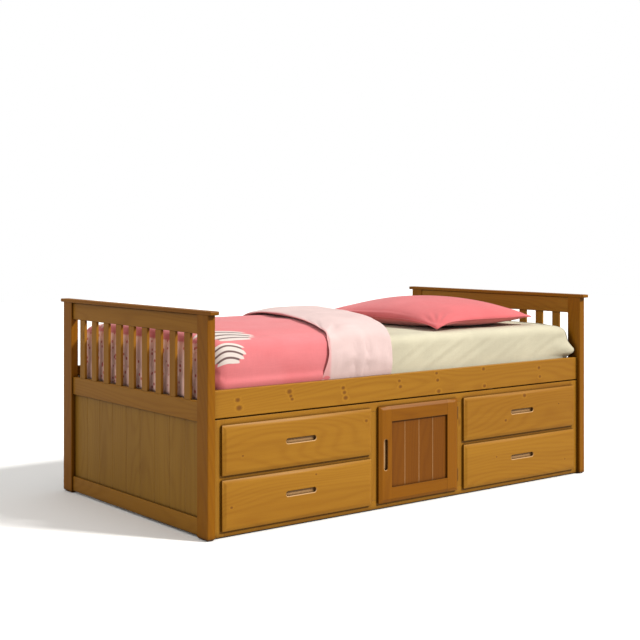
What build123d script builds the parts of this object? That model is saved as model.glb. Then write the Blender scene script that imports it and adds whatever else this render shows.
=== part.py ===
from build123d import *
import os

# A pine captain's bed: two slatted ends, two side rails, a chest of four drawers and a cupboard
# under the mattress, and bedding. X runs along the bed with the head end at +X, the front of the
# chest faces -Y, Z is up, and the origin is on the floor under the middle of the bed. Sizes in mm.

# ---- Driving dimensions ---------------------------------------------------------------------
BED_LENGTH = 2000.0  # over the outer faces of the posts
BED_WIDTH = 1090.0  # over the front and back faces of the posts

POST_THICK = 32.0
POST_WIDE = 70.0
POST_TALL = 782.0
POST_FOOT_CHAMFER = 8.0
POST_EDGE = 2.5

CAP_THICK = 14.0
CAP_OVER_END = 3.0
CAP_OVER_SIDE = 21.0
CAP_EDGE = 4.0

END_RAIL_RECESS = 8.5
END_RAIL_THICK = 20.0
TOP_RAIL_Z = (713.0, 782.0)
MIDDLE_RAIL_Z = (405.0, 477.0)
BOTTOM_RAIL_Z = (8.0, 69.0)

SLAT_COUNT = 9
SLAT_WIDE = 40.0
SLAT_THICK = 12.0
SLAT_RECESS = 9.5
SLAT_TENON_LONG = 12.0
SLAT_TENON_THICK = 6.0
SLAT_TENON_SHOULDER = 3.0

PANEL_BOARD_COUNT = 9
PANEL_THICK = 10.0
PANEL_RECESS = 18.5
PANEL_REBATE = 8.0
BOARD_GROOVE_SHARE = 0.24  # depth of the V between boards, as a share of their thickness
TONGUE_LONG = 6.0
TONGUE_THICK = 3.0

SIDE_RAIL_Z = (419.0, 517.0)
SIDE_RAIL_THICK = 24.0
SIDE_RAIL_RECESS = 16.0

BATTEN_WIDE = 25.0
BATTEN_TALL = 26.0
BATTEN_END_GAP = 30.0
BED_SLAT_COUNT = 13
BED_SLAT_WIDE = 70.0
BED_SLAT_THICK = 18.0
BED_SLAT_TOP = 465.0
BED_SLAT_END_GAP = 75.0  # from a post to the middle of the nearest slat
BED_SLAT_CLEAR = 1.0

BRACKET_THICK = 2.5
BRACKET_LEG = 25.0
BRACKET_Z = (424.0, 478.0)
SCREW_R = 2.0
SCREW_HEAD_R = 3.8
SCREW_HEAD_TALL = 2.0
SCREW_LONG = 16.0
SCREW_HOLE_R = 2.05
SCREW_FROM_CORNER = 16.0
SCREW_FROM_END = 13.0

CHEST_TOP = 415.0
CHEST_FOOT = 5.0
CHEST_BACK_Y = -49.0
FRAME_THICK = 20.0
CARCASS_THICK = 16.0
BACK_THICK = 6.0
CUPBOARD_FLOOR_THICK = 12.0
CHEST_HALF = 967.0
END_STILE_INNER = 921.0
END_PANEL_INNER = 949.0
DOOR_STILE = (198.0, 264.0)
DIVIDER_INNER = 223.0
FACE_TOP_RAIL_Z = (381.0, 415.0)
FACE_BOTTOM_RAIL_Z = (5.0, 39.0)
FACE_DRAWER_RAIL_Z = (189.0, 233.0)

FRONT_OVERHANG = 16.5  # drawer fronts and the door stand this far in front of the face frame
FRONT_GAP = 0.5
BEVEL_WIDE = 15.5
BEVEL_DEEP = 7.0
DRAWER_FRONT_X = (250.0, 935.0)
DRAWER_FRONT_Z = {"upper": (219.0, 395.0), "lower": (25.0, 203.0)}
DRAWER_BOX_Z = {"upper": 236.0, "lower": 42.0}
DRAWER_BOX_X = (271.0, 914.0)
DRAWER_BOX_TALL = 125.0
DRAWER_BOX_LONG = 440.0
DRAWER_WALL = 12.0
DRAWER_BOTTOM_THICK = 6.0
DRAWER_BOTTOM_RISE = 8.0
RUNNER_CLEAR = 0.5
RUNNER_FOOT_TALL = 12.0
RUNNER_GUIDE_TALL = 30.0

PULL_LONG = 138.0  # finger pulls: round-ended recesses, wider behind their lips
PULL_WIDE = 18.0
PULL_DEEP = 10.5
PULL_LIP = 5.5
PULL_UNDERCUT = 3.0
PULL_ROUND = 2.0
PULL_ABOVE_MIDDLE = {"upper": 7.0, "lower": 9.0}
DOOR_PULL_LONG = 120.0
DOOR_PULL_ASIDE = 1.0

DOOR_HALF = 212.0
DOOR_Z = (25.0, 397.0)
DOOR_GAP = 1.5
DOOR_OPENING_X = (-150.0, 150.0)
DOOR_OPENING_Z = (82.0, 338.0)
DOOR_BOARD_COUNT = 4
DOOR_BOARD_THICK = 6.0
DOOR_BOARD_RECESS = 8.0
DOOR_BOARD_TONGUE = 6.0

HINGE_PIN_R = 1.75
HINGE_RUNNING_CLEAR = 0.06
HINGE_KNUCKLE_R = 3.5
HINGE_TALL = 50.0
HINGE_MIDDLE_KNUCKLE = 17.0
HINGE_KNUCKLE_GAP = 0.4
HINGE_LEAF = 1.2
HINGE_HEIGHTS = (85.0, 337.0)
HINGE_PIN_X = DOOR_HALF + 4.0
HINGE_FRAME_WRAP = 24.0
HINGE_WRAP_WIDE = 27.0
HINGE_FRONT_CLEAR = 1.0  # from the door's bevel to the leaf let into its edge

CATCH_WIDE = 18.0
CATCH_DEEP_BACK = 4.0
CATCH_CLEAR = 0.3
CATCH_Z = (328.0, 368.0)
CATCH_EDGE = 1.5
STRIKE_INSET = 2.0
STRIKE_THICK = 0.8
STRIKE_Z = (336.0, 360.0)

MATTRESS_HALF_X = 950.0
MATTRESS_HALF_Y = 487.5
MATTRESS_Z = (465.5, 664.0)
MATTRESS_CORNER = 45.0
MATTRESS_RIM = 18.0
SOFT_CLEAR = 0.5

DUVET_FOOT_X = -964.5
DUVET_HALF_Y = 508.0
DUVET_THICK = 52.0
DUVET_SHOULDER = 26.0
DUVET_TUCK_Y = 502.0
DUVET_TUCK_Z = 483.0
RAIL_TOP_CLEAR = 2.0
FOLD_X = 25.0  # where the duvet's fold crosses the bed's middle
FOLD_SKEW = 0.29  # the fold leans this much along X for each Y
FOLD_ROUND = 18.0
FLAP_WIDE = 340.0
FLAP_THICK = 22.0
FLAP_INSET = 40.0

PILLOW_X = (180.0, 800.0)
PILLOW_Y = (-455.0, 320.0)
PILLOW_RISE = 1.0
PILLOW_SEAM_Z = 698.0
PILLOW_CROWN_Z = 794.0
PILLOW_UNDER_INSET = 60.0
PILLOW_CROWN_INSET = 140.0
PILLOW_CORNER = 40.0

os.makedirs("parts", exist_ok=True)

# ---- Faces that several pieces share --------------------------------------------------------
HALF_LENGTH = BED_LENGTH / 2
HALF_WIDTH = BED_WIDTH / 2
POST_INNER_X = HALF_LENGTH - POST_THICK
POST_INNER_Y = HALF_WIDTH - POST_WIDE
FRAME_FRONT_Y = -HALF_WIDTH + SIDE_RAIL_RECESS
FRAME_BACK_Y = FRAME_FRONT_Y + FRAME_THICK
FRONT_FACE_Y = FRAME_FRONT_Y - FRONT_OVERHANG
DRAWER_FRONT_BACK_Y = FRAME_FRONT_Y - FRONT_GAP
DOOR_BACK_Y = FRAME_FRONT_Y - DOOR_GAP
BEVEL_BACK_Y = FRONT_FACE_Y + BEVEL_DEEP
FRAME_Y = (FRAME_FRONT_Y, FRAME_BACK_Y)
CARCASS_Y = (FRAME_BACK_Y, CHEST_BACK_Y)
RAIL_INNER_Y = HALF_WIDTH - SIDE_RAIL_RECESS - SIDE_RAIL_THICK
BED_SLAT_UNDER = BED_SLAT_TOP - BED_SLAT_THICK
HINGE_PIN_Y = FRAME_FRONT_Y - HINGE_LEAF - HINGE_KNUCKLE_R


def write(name, shape):
    """Write one sub-part; a list of solids becomes one group."""
    if isinstance(shape, (list, tuple)):
        shape = Compound(children=list(shape))
    export_step(shape, f"parts/{name}.step")


def box(x, y, z):
    """A block between the low and high values of each axis."""
    (x0, x1), (y0, y1), (z0, z1) = sorted(x), sorted(y), sorted(z)
    return Pos((x0 + x1) / 2, (y0 + y1) / 2, (z0 + z1) / 2) * Box(x1 - x0, y1 - y0, z1 - z0)


def eased(shape, size, axis=None):
    """Break a block's sharp edges: all of them, or those along one axis."""
    edges = shape.edges() if axis is None else shape.edges().filter_by(axis)
    return chamfer(edges, size)


def upright(x, y, z0, z1, radius):
    """A vertical round bar."""
    return Pos(x, y, (z0 + z1) / 2) * Cylinder(radius, z1 - z0)


def mirrored(shape, plane):
    """The same piece, or list of pieces, on the other side of the bed."""
    if isinstance(shape, list):
        return [mirror(piece, about=plane) for piece in shape]
    return mirror(shape, about=plane)


def tongued_outlines(edges, outer, inner, housing):
    """The sections of tongue-and-groove boards side by side, as lists of (depth, across).

    edges are the joints' places across the panel, outer and inner are the depths of the two
    faces, and the first and last boards run on by housing into the frame round the panel.
    """
    side = 1 if inner > outer else -1
    middle = (outer + inner) / 2
    tongue_out = middle - side * TONGUE_THICK / 2
    tongue_in = middle + side * TONGUE_THICK / 2
    groove = abs(inner - outer) * BOARD_GROOVE_SHARE
    chamfer_in = outer + side * groove
    last = len(edges) - 2
    outlines = []
    for index in range(last + 1):
        left, right = edges[index], edges[index + 1]
        outline = []
        if index == 0:
            outline += [(inner, left - housing), (outer, left - housing)]
        else:
            outline += [(inner, left), (tongue_in, left), (tongue_in, left + TONGUE_LONG)]
            outline += [(tongue_out, left + TONGUE_LONG), (tongue_out, left)]
            outline += [(chamfer_in, left), (outer, left + groove)]
        if index == last:
            outline += [(outer, right + housing), (inner, right + housing)]
        else:
            outline += [(outer, right - groove), (chamfer_in, right), (tongue_out, right)]
            outline += [(tongue_out, right + TONGUE_LONG), (tongue_in, right + TONGUE_LONG)]
            outline += [(tongue_in, right), (inner, right)]
        outlines.append(outline)
    return outlines


def extruded(outline, z):
    """A prism on a flat outline of (x, y) points, between two heights."""
    face = make_face(Polyline(*outline, close=True))
    return Pos(0, 0, z[0]) * extrude(face, z[1] - z[0], dir=(0, 0, 1))


# ---- The two ends ---------------------------------------------------------------------------
def end_panel_boards():
    """Boards across the foot end, let into the posts and rails."""
    outer = -HALF_LENGTH + PANEL_RECESS
    step = 2 * POST_INNER_Y / PANEL_BOARD_COUNT
    joints = [-POST_INNER_Y + step * i for i in range(PANEL_BOARD_COUNT + 1)]
    z = (BOTTOM_RAIL_Z[1] - PANEL_REBATE, MIDDLE_RAIL_Z[0] + PANEL_REBATE)
    outlines = tongued_outlines(joints, outer, outer + PANEL_THICK, PANEL_REBATE)
    return [extruded(outline, z) for outline in outlines]


def end_panel_space():
    """The room that the boards take in the rails and posts round them."""
    outer = -HALF_LENGTH + PANEL_RECESS
    reach = POST_INNER_Y + PANEL_REBATE
    z = (BOTTOM_RAIL_Z[1] - PANEL_REBATE, MIDDLE_RAIL_Z[0] + PANEL_REBATE)
    return box((outer, outer + PANEL_THICK), (-reach, reach), z)


def end_slats():
    """Upright slats with a bare-faced tenon at each end."""
    gap = (2 * POST_INNER_Y - SLAT_COUNT * SLAT_WIDE) / (SLAT_COUNT + 1)
    face = -HALF_LENGTH + SLAT_RECESS
    back = face + SLAT_THICK
    slats = []
    for index in range(SLAT_COUNT):
        y0 = -POST_INNER_Y + gap + index * (SLAT_WIDE + gap)
        y1 = y0 + SLAT_WIDE
        body = box((face, back), (y0, y1), (MIDDLE_RAIL_Z[1], TOP_RAIL_Z[0]))
        body = eased(body, 1.5, Axis.Z)
        tenon = box(
            (back - SLAT_TENON_THICK, back),
            (y0 + SLAT_TENON_SHOULDER, y1 - SLAT_TENON_SHOULDER),
            (MIDDLE_RAIL_Z[1] - SLAT_TENON_LONG, TOP_RAIL_Z[0] + SLAT_TENON_LONG),
        )
        slats.append(body + tenon)
    return slats


def end_post(side):
    """A post of the foot end; side is -1 for the front and +1 for the back."""
    y = (side * HALF_WIDTH, side * POST_INNER_Y)
    post = box((-HALF_LENGTH, -POST_INNER_X), y, (0, POST_TALL))
    post = chamfer(post.edges().group_by(Axis.Z)[0], POST_FOOT_CHAMFER)
    post = chamfer(post.edges().filter_by(Axis.Z), POST_EDGE)
    return post - end_panel_space()


def end_rail(z, easing=2.0):
    """A rail between the posts of the foot end."""
    outer = -HALF_LENGTH + END_RAIL_RECESS
    rail = box((outer, outer + END_RAIL_THICK), (-POST_INNER_Y, POST_INNER_Y), z)
    return eased(rail, easing, Axis.Y)


def end_parts():
    """Every piece of the foot end, by name."""
    slats = end_slats()
    panel = end_panel_space()
    top_rail = end_rail(TOP_RAIL_Z)
    middle_rail = end_rail(MIDDLE_RAIL_Z) - panel
    bottom_rail = end_rail(BOTTOM_RAIL_Z) - panel
    for slat in slats:
        top_rail -= slat
        middle_rail -= slat
    cap = box(
        (-HALF_LENGTH - CAP_OVER_END, -POST_INNER_X + CAP_OVER_END),
        (-HALF_WIDTH - CAP_OVER_SIDE, HALF_WIDTH + CAP_OVER_SIDE),
        (POST_TALL, POST_TALL + CAP_THICK),
    )
    cap = fillet(cap.edges(), CAP_EDGE)
    return {
        "post_front": end_post(-1),
        "post_back": end_post(1),
        "cap": cap,
        "top_rail": top_rail,
        "middle_rail": middle_rail,
        "bottom_rail": bottom_rail,
        "slats": slats,
        "panel_boards": end_panel_boards(),
    }


# ---- Side rails and the slats that the mattress lies on --------------------------------------
def side_rail(side):
    """A side rail; side is -1 for the front and +1 for the back."""
    outer = side * (HALF_WIDTH - SIDE_RAIL_RECESS)
    inner = outer - side * SIDE_RAIL_THICK
    rail = box((-POST_INNER_X, POST_INNER_X), (outer, inner), SIDE_RAIL_Z)
    return eased(rail, 2.5, Axis.X)


def slat_battens():
    """A ledge along the inside of each side rail."""
    z = (BED_SLAT_UNDER - BATTEN_TALL, BED_SLAT_UNDER)
    x = (-POST_INNER_X + BATTEN_END_GAP, POST_INNER_X - BATTEN_END_GAP)
    return [box(x, (s * RAIL_INNER_Y, s * (RAIL_INNER_Y - BATTEN_WIDE)), z) for s in (-1, 1)]


def bed_slats():
    """Loose slats across the battens, evenly spaced."""
    first = -POST_INNER_X + BED_SLAT_END_GAP
    step = -2 * first / (BED_SLAT_COUNT - 1)
    half = RAIL_INNER_Y - BED_SLAT_CLEAR
    slats = []
    for index in range(BED_SLAT_COUNT):
        x = first + step * index
        across = (x - BED_SLAT_WIDE / 2, x + BED_SLAT_WIDE / 2)
        slats.append(box(across, (-half, half), (BED_SLAT_UNDER, BED_SLAT_TOP)))
    return slats


def rail_brackets():
    """A steel angle in each corner, joining a side rail to a post."""
    brackets = []
    for x_side in (-1, 1):
        for y_side in (-1, 1):
            x = x_side * POST_INNER_X
            y = y_side * RAIL_INNER_Y
            x_in = x - x_side * BRACKET_THICK
            y_in = y - y_side * BRACKET_THICK
            on_rail = box((x, x - x_side * BRACKET_LEG), (y, y_in), BRACKET_Z)
            on_post = box((x, x_in), (y, y - y_side * BRACKET_LEG), BRACKET_Z)
            brackets.append(on_rail + on_post)
    return brackets


def bracket_screws(stem_r=SCREW_R):
    """Two pan-head screws through each leg of each bracket."""
    screws = []
    for x_side in (-1, 1):
        for y_side in (-1, 1):
            for z in (BRACKET_Z[0] + SCREW_FROM_END, BRACKET_Z[1] - SCREW_FROM_END):
                x = x_side * (POST_INNER_X - SCREW_FROM_CORNER)
                y = y_side * RAIL_INNER_Y
                tip = y + y_side * SCREW_LONG
                head = y - y_side * BRACKET_THICK
                screws.append(screw((x, head, z), (0, tip - head, 0), stem_r))
                x = x_side * POST_INNER_X
                y = y_side * (RAIL_INNER_Y - SCREW_FROM_CORNER)
                tip = x + x_side * SCREW_LONG
                head = x - x_side * BRACKET_THICK
                screws.append(screw((head, y, z), (tip - head, 0, 0), stem_r))
    return screws


def screw(seat, shank, stem_r):
    """A screw whose head sits at seat; shank is the vector from there to its tip."""
    vector = Vector(*shank)
    along = Plane(origin=seat, z_dir=vector.normalized())
    stem = along * Pos(0, 0, vector.length / 2) * Cylinder(stem_r, vector.length)
    head = along * Pos(0, 0, -SCREW_HEAD_TALL / 2) * Cylinder(SCREW_HEAD_R, SCREW_HEAD_TALL)
    return stem + head


# ---- The chest ------------------------------------------------------------------------------
def both_sides(x, y, z):
    """The same block on the foot side and the head side of the bed's middle."""
    return [box((-x[1], -x[0]), y, z), box(x, y, z)]


def drawer_runners():
    """A foot strip under each drawer side and a guide strip beside it."""
    strips = []
    for base in DRAWER_BOX_Z.values():
        foot_z = (base - RUNNER_CLEAR - RUNNER_FOOT_TALL, base - RUNNER_CLEAR)
        guide_z = (base - RUNNER_CLEAR, base + RUNNER_GUIDE_TALL)
        divider = DIVIDER_INNER + CARCASS_THICK
        near = (divider, DRAWER_BOX_X[0] + DRAWER_WALL)
        far = (DRAWER_BOX_X[1] - DRAWER_WALL, END_PANEL_INNER)
        strips += both_sides(near, CARCASS_Y, foot_z)
        strips += both_sides(far, CARCASS_Y, foot_z)
        strips += both_sides((divider, DRAWER_BOX_X[0] - RUNNER_CLEAR), CARCASS_Y, guide_z)
        strips += both_sides((DRAWER_BOX_X[1] + RUNNER_CLEAR, END_PANEL_INNER), CARCASS_Y, guide_z)
    return strips


def chest_parts():
    """The carcass and face frame that stand under the bed."""
    end_stile = (END_STILE_INNER, CHEST_HALF)
    door_stile_z = (FACE_BOTTOM_RAIL_Z[1], FACE_TOP_RAIL_Z[0])
    whole = (-END_STILE_INNER, END_STILE_INNER)
    end_panel = (END_PANEL_INNER, END_PANEL_INNER + CARCASS_THICK)
    divider = (DIVIDER_INNER, DIVIDER_INNER + CARCASS_THICK)
    floor = (-DIVIDER_INNER, DIVIDER_INNER)
    floor_z = (FACE_BOTTOM_RAIL_Z[1] - CUPBOARD_FLOOR_THICK, FACE_BOTTOM_RAIL_Z[1])
    back = (-end_panel[1], end_panel[1])
    return {
        "face_end_stiles": both_sides(end_stile, FRAME_Y, (CHEST_FOOT, CHEST_TOP)),
        "face_door_stiles": both_sides(DOOR_STILE, FRAME_Y, door_stile_z),
        "face_top_rail": box(whole, FRAME_Y, FACE_TOP_RAIL_Z),
        "face_bottom_rail": box(whole, FRAME_Y, FACE_BOTTOM_RAIL_Z),
        "face_drawer_rails": both_sides(
            (DOOR_STILE[1], END_STILE_INNER), FRAME_Y, FACE_DRAWER_RAIL_Z
        ),
        "chest_end_panels": both_sides(end_panel, CARCASS_Y, (0, CHEST_TOP)),
        "chest_dividers": both_sides(divider, CARCASS_Y, (0, CHEST_TOP)),
        "chest_back": box(back, (CHEST_BACK_Y, CHEST_BACK_Y + BACK_THICK), (0, CHEST_TOP)),
        "cupboard_floor": box(floor, CARCASS_Y, floor_z),
        "drawer_runners": drawer_runners(),
    }


# ---- Drawers and door -----------------------------------------------------------------------
def bevelled_front(x, z, back_y):
    """A slab whose front face stands proud of a bevel that runs all round it."""
    wide, tall = x[1] - x[0], z[1] - z[0]
    middle = ((x[0] + x[1]) / 2, (z[0] + z[1]) / 2)
    base = box(x, (BEVEL_BACK_Y, back_y), z)
    foot = Plane(origin=(middle[0], BEVEL_BACK_Y, middle[1]), x_dir=(1, 0, 0), z_dir=(0, -1, 0))
    top = Plane(origin=(middle[0], FRONT_FACE_Y, middle[1]), x_dir=(1, 0, 0), z_dir=(0, -1, 0))
    outline = foot * Rectangle(wide, tall)
    field = top * Rectangle(wide - 2 * BEVEL_WIDE, tall - 2 * BEVEL_WIDE)
    return base + loft([outline, field], ruled=True)


def finger_pull(shape, x, z, long, turn):
    """Rout a round-ended recess into a front, undercut behind its lip, and round over the lip."""
    face = Plane(origin=(x, FRONT_FACE_Y, z), x_dir=(1, 0, 0), z_dir=(0, 1, 0))
    mouth = face * Rot(0, 0, turn) * SlotOverall(long, PULL_WIDE)
    grown = 2 * PULL_UNDERCUT
    hollow = face * Rot(0, 0, turn) * Pos(0, 0, PULL_LIP) * SlotOverall(long + grown, PULL_WIDE + grown)
    shape -= extrude(mouth, PULL_DEEP, dir=(0, 1, 0))
    shape -= extrude(hollow, PULL_DEEP - PULL_LIP, dir=(0, 1, 0))
    reach = (long, PULL_WIDE) if turn == 0 else (PULL_WIDE, long)
    rim = [
        edge
        for edge in shape.edges()
        if abs(edge.center().Y - FRONT_FACE_Y) < 0.01
        and edge.bounding_box().size.Y < 0.01
        and abs(edge.center().X - x) < reach[0] / 2 + 1
        and abs(edge.center().Z - z) < reach[1] / 2 + 1
    ]
    return fillet(rim, PULL_ROUND)


def drawer(level, side):
    """The pieces of one drawer; side is -1 towards the foot and +1 towards the head."""
    base = DRAWER_BOX_Z[level]
    near, far = DRAWER_BOX_X
    back_end = DRAWER_FRONT_BACK_Y + DRAWER_BOX_LONG
    front_z = DRAWER_FRONT_Z[level]
    side_y = (DRAWER_FRONT_BACK_Y, back_end)
    side_z = (base, base + DRAWER_BOX_TALL)
    bottom_z = (base + DRAWER_BOTTOM_RISE, base + DRAWER_BOTTOM_RISE + DRAWER_BOTTOM_THICK)
    half_wall = DRAWER_WALL / 2
    bottom = box(
        (near + half_wall, far - half_wall), (DRAWER_FRONT_BACK_Y - half_wall, back_end), bottom_z
    )
    sides = [
        box((near, near + DRAWER_WALL), side_y, side_z),
        box((far - DRAWER_WALL, far), side_y, side_z),
    ]
    back = box(
        (near + DRAWER_WALL, far - DRAWER_WALL),
        (back_end - DRAWER_WALL, back_end),
        (bottom_z[1], side_z[1]),
    )
    front = bevelled_front(DRAWER_FRONT_X, front_z, DRAWER_FRONT_BACK_Y)
    pull_z = sum(front_z) / 2 + PULL_ABOVE_MIDDLE[level]
    front = finger_pull(front, sum(DRAWER_FRONT_X) / 2, pull_z, PULL_LONG, 0)
    pieces = {
        "front": front - bottom,
        "sides": [piece - bottom for piece in sides],
        "back": back,
        "bottom": bottom,
    }
    if side < 0:
        pieces = {name: mirrored(piece, Plane.YZ) for name, piece in pieces.items()}
    return pieces


def hinge_leaf_recess(z):
    """The shallow mortise that lets one door leaf in flush, round the door's hinge edge."""
    tall = (z - HINGE_TALL / 2, z + HINGE_TALL / 2)
    past_edge, past_back = DOOR_HALF + 1, DOOR_BACK_Y + 1
    front = BEVEL_BACK_Y + HINGE_FRONT_CLEAR
    on_edge = box((DOOR_HALF - HINGE_LEAF, past_edge), (front, past_back), tall)
    on_back = box((DOOR_HALF - HINGE_WRAP_WIDE, past_edge), (DOOR_BACK_Y - HINGE_LEAF, past_back), tall)
    return on_edge + on_back


def hinge_parts():
    """Two butt hinges: leaves on the face frame, wrapped leaves on the door, and pins."""
    frame_leaves, door_leaves, pins = [], [], []
    half_tall = HINGE_TALL / 2
    half_middle = HINGE_MIDDLE_KNUCKLE / 2
    for z in HINGE_HEIGHTS:
        low, high = z - half_tall, z + half_tall
        pins.append(upright(HINGE_PIN_X, HINGE_PIN_Y, low, high, HINGE_PIN_R))
        bore = upright(HINGE_PIN_X, HINGE_PIN_Y, low, high, HINGE_PIN_R + HINGE_RUNNING_CLEAR)
        stile_edge = DOOR_STILE[0]
        front_y = (FRAME_FRONT_Y - HINGE_LEAF, FRAME_FRONT_Y)
        wrap_y = (FRAME_FRONT_Y - HINGE_LEAF, FRAME_FRONT_Y + HINGE_FRAME_WRAP)
        leaf = box((stile_edge, HINGE_PIN_X + HINGE_KNUCKLE_R), front_y, (low, high))
        leaf += box((stile_edge - HINGE_LEAF, stile_edge), wrap_y, (low, high))
        for ends in ((low, z - half_middle), (z + half_middle, high)):
            leaf += upright(HINGE_PIN_X, HINGE_PIN_Y, *ends, HINGE_KNUCKLE_R)
            web_x = (HINGE_PIN_X, HINGE_PIN_X + HINGE_KNUCKLE_R)
            leaf += box(web_x, (HINGE_PIN_Y, FRAME_FRONT_Y - HINGE_LEAF), ends)
        frame_leaves.append(leaf - bore)
        middle = (z - half_middle + HINGE_KNUCKLE_GAP, z + half_middle - HINGE_KNUCKLE_GAP)
        edge_x = (DOOR_HALF - HINGE_LEAF, DOOR_HALF)
        leaf = box(edge_x, (BEVEL_BACK_Y + HINGE_FRONT_CLEAR, DOOR_BACK_Y), (low, high))
        back_x = (DOOR_HALF - HINGE_WRAP_WIDE, DOOR_HALF)
        leaf += box(back_x, (DOOR_BACK_Y - HINGE_LEAF, DOOR_BACK_Y), (low, high))
        leaf += upright(HINGE_PIN_X, HINGE_PIN_Y, *middle, HINGE_KNUCKLE_R)
        web_y = (HINGE_PIN_Y - HINGE_KNUCKLE_R, HINGE_PIN_Y)
        leaf += box((DOOR_HALF, HINGE_PIN_X), (web_y[0], HINGE_PIN_Y), middle)
        door_leaves.append(leaf - bore)
    return frame_leaves, door_leaves, pins


def door_parts():
    """The cupboard door: two stiles, two rails and four boards."""
    (left, right), (low, high) = DOOR_OPENING_X, DOOR_OPENING_Z
    slab = bevelled_front((-DOOR_HALF, DOOR_HALF), DOOR_Z, DOOR_BACK_Y)
    everywhere = (FRONT_FACE_Y - 1, DOOR_BACK_Y + 1)
    handle_stile = slab & box((-DOOR_HALF, left), everywhere, DOOR_Z)
    hinge_stile = slab & box((right, DOOR_HALF), everywhere, DOOR_Z)
    top_rail = slab & box((left, right), everywhere, (high, DOOR_Z[1]))
    bottom_rail = slab & box((left, right), everywhere, (DOOR_Z[0], low))
    outer = FRONT_FACE_Y + DOOR_BOARD_RECESS
    inner = outer + DOOR_BOARD_THICK
    step = (right - left) / DOOR_BOARD_COUNT
    joints = [left + step * i for i in range(DOOR_BOARD_COUNT + 1)]
    z = (low - DOOR_BOARD_TONGUE, high + DOOR_BOARD_TONGUE)
    outlines = tongued_outlines(joints, outer, inner, DOOR_BOARD_TONGUE)
    boards = [extruded([(across, depth) for depth, across in outline], z) for outline in outlines]
    reach = (left - DOOR_BOARD_TONGUE, right + DOOR_BOARD_TONGUE)
    housing = box(reach, (outer, inner), z)
    pull_x = (-DOOR_HALF + left) / 2 + DOOR_PULL_ASIDE
    handle_stile = finger_pull(handle_stile, pull_x, sum(DOOR_Z) / 2, DOOR_PULL_LONG, 90)
    handle_stile -= housing
    hinge_stile -= housing
    for hinge_z in HINGE_HEIGHTS:
        hinge_stile -= hinge_leaf_recess(hinge_z)
    return {
        "door_handle_stile": handle_stile,
        "door_hinge_stile": hinge_stile,
        "door_rails": [top_rail - housing, bottom_rail - housing],
        "door_boards": boards,
    }


def catch_parts():
    """A magnetic catch inside the face frame, and the steel strike on the door's back."""
    stile = -DOOR_STILE[0]
    catch_y = (FRAME_FRONT_Y + CATCH_CLEAR, FRAME_BACK_Y + CATCH_DEEP_BACK)
    catch = box((stile, stile + CATCH_WIDE), catch_y, CATCH_Z)
    strike_x = (stile + STRIKE_INSET, stile + CATCH_WIDE - STRIKE_INSET)
    strike = box(strike_x, (DOOR_BACK_Y, DOOR_BACK_Y + STRIKE_THICK), STRIKE_Z)
    return eased(catch, CATCH_EDGE, Axis.Y), strike


# ---- Bedding, as the plain volumes that it fills ---------------------------------------------
def mattress():
    """The mattress, with rounded corners."""
    x, y = (-MATTRESS_HALF_X, MATTRESS_HALF_X), (-MATTRESS_HALF_Y, MATTRESS_HALF_Y)
    body = fillet(box(x, y, MATTRESS_Z).edges().filter_by(Axis.Z), MATTRESS_CORNER)
    rims = body.edges().group_by(Axis.Z)[0] + body.edges().group_by(Axis.Z)[-1]
    return fillet(rims, MATTRESS_RIM)


def strip_outline(far_edge, near_edge, half_y):
    """A flat outline between two X edges, each of which may lean with the fold."""
    (far_x, far_skew), (near_x, near_skew) = far_edge, near_edge
    return [
        (far_x - half_y * far_skew, -half_y),
        (near_x - half_y * near_skew, -half_y),
        (near_x + half_y * near_skew, half_y),
        (far_x + half_y * far_skew, half_y),
    ]


def duvet():
    """The duvet over the foot of the bed, folded back near its middle and tucked in at the sides."""
    top = MATTRESS_Z[1] + DUVET_THICK
    fold = (FOLD_X, FOLD_SKEW)
    foot = (DUVET_FOOT_X, 0.0)
    over_rail = SIDE_RAIL_Z[1] + RAIL_TOP_CLEAR
    over = extruded(strip_outline(foot, fold, DUVET_HALF_Y), (over_rail, top))
    over = chamfer(over.edges().group_by(Axis.Z)[-1], DUVET_SHOULDER)
    tuck = extruded(strip_outline(foot, fold, DUVET_TUCK_Y), (DUVET_TUCK_Z, over_rail))
    free_edge = (FOLD_X - FLAP_WIDE, FOLD_SKEW)
    flap_fold = (FOLD_X - FOLD_ROUND, FOLD_SKEW)
    flap_outline = strip_outline(free_edge, flap_fold, DUVET_HALF_Y - FLAP_INSET)
    flap = extruded(flap_outline, (top, top + FLAP_THICK))
    inside = box(
        (-MATTRESS_HALF_X - SOFT_CLEAR, MATTRESS_HALF_X),
        (-MATTRESS_HALF_Y - SOFT_CLEAR, MATTRESS_HALF_Y + SOFT_CLEAR),
        (0, MATTRESS_Z[1] + SOFT_CLEAR),
    )
    return over + tuck + flap - inside


def pillow():
    """The pillow: widest at its seam, narrower where it rests and at its crown."""
    wide, deep = PILLOW_X[1] - PILLOW_X[0], PILLOW_Y[1] - PILLOW_Y[0]
    middle = (sum(PILLOW_X) / 2, sum(PILLOW_Y) / 2)
    heights = (MATTRESS_Z[1] + PILLOW_RISE, PILLOW_SEAM_Z, PILLOW_CROWN_Z)
    layers = []
    for height, inset in zip(heights, (PILLOW_UNDER_INSET, 0.0, PILLOW_CROWN_INSET)):
        outline = RectangleRounded(wide - 2 * inset, deep - 2 * inset, PILLOW_CORNER)
        layers.append(Pos(middle[0], middle[1], height) * outline)
    lower = loft(layers[:2], ruled=True)
    upper = loft(layers[1:], ruled=True)
    return lower + upper


# ---- Write every piece ----------------------------------------------------------------------
screw_holes = Compound(children=bracket_screws(SCREW_HOLE_R))
for piece_name, piece in end_parts().items():
    other_end = mirrored(piece, Plane.YZ)
    if piece_name.startswith("post"):
        piece, other_end = piece - screw_holes, other_end - screw_holes
    write(f"foot_{piece_name}", piece)
    write(f"head_{piece_name}", other_end)

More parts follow.
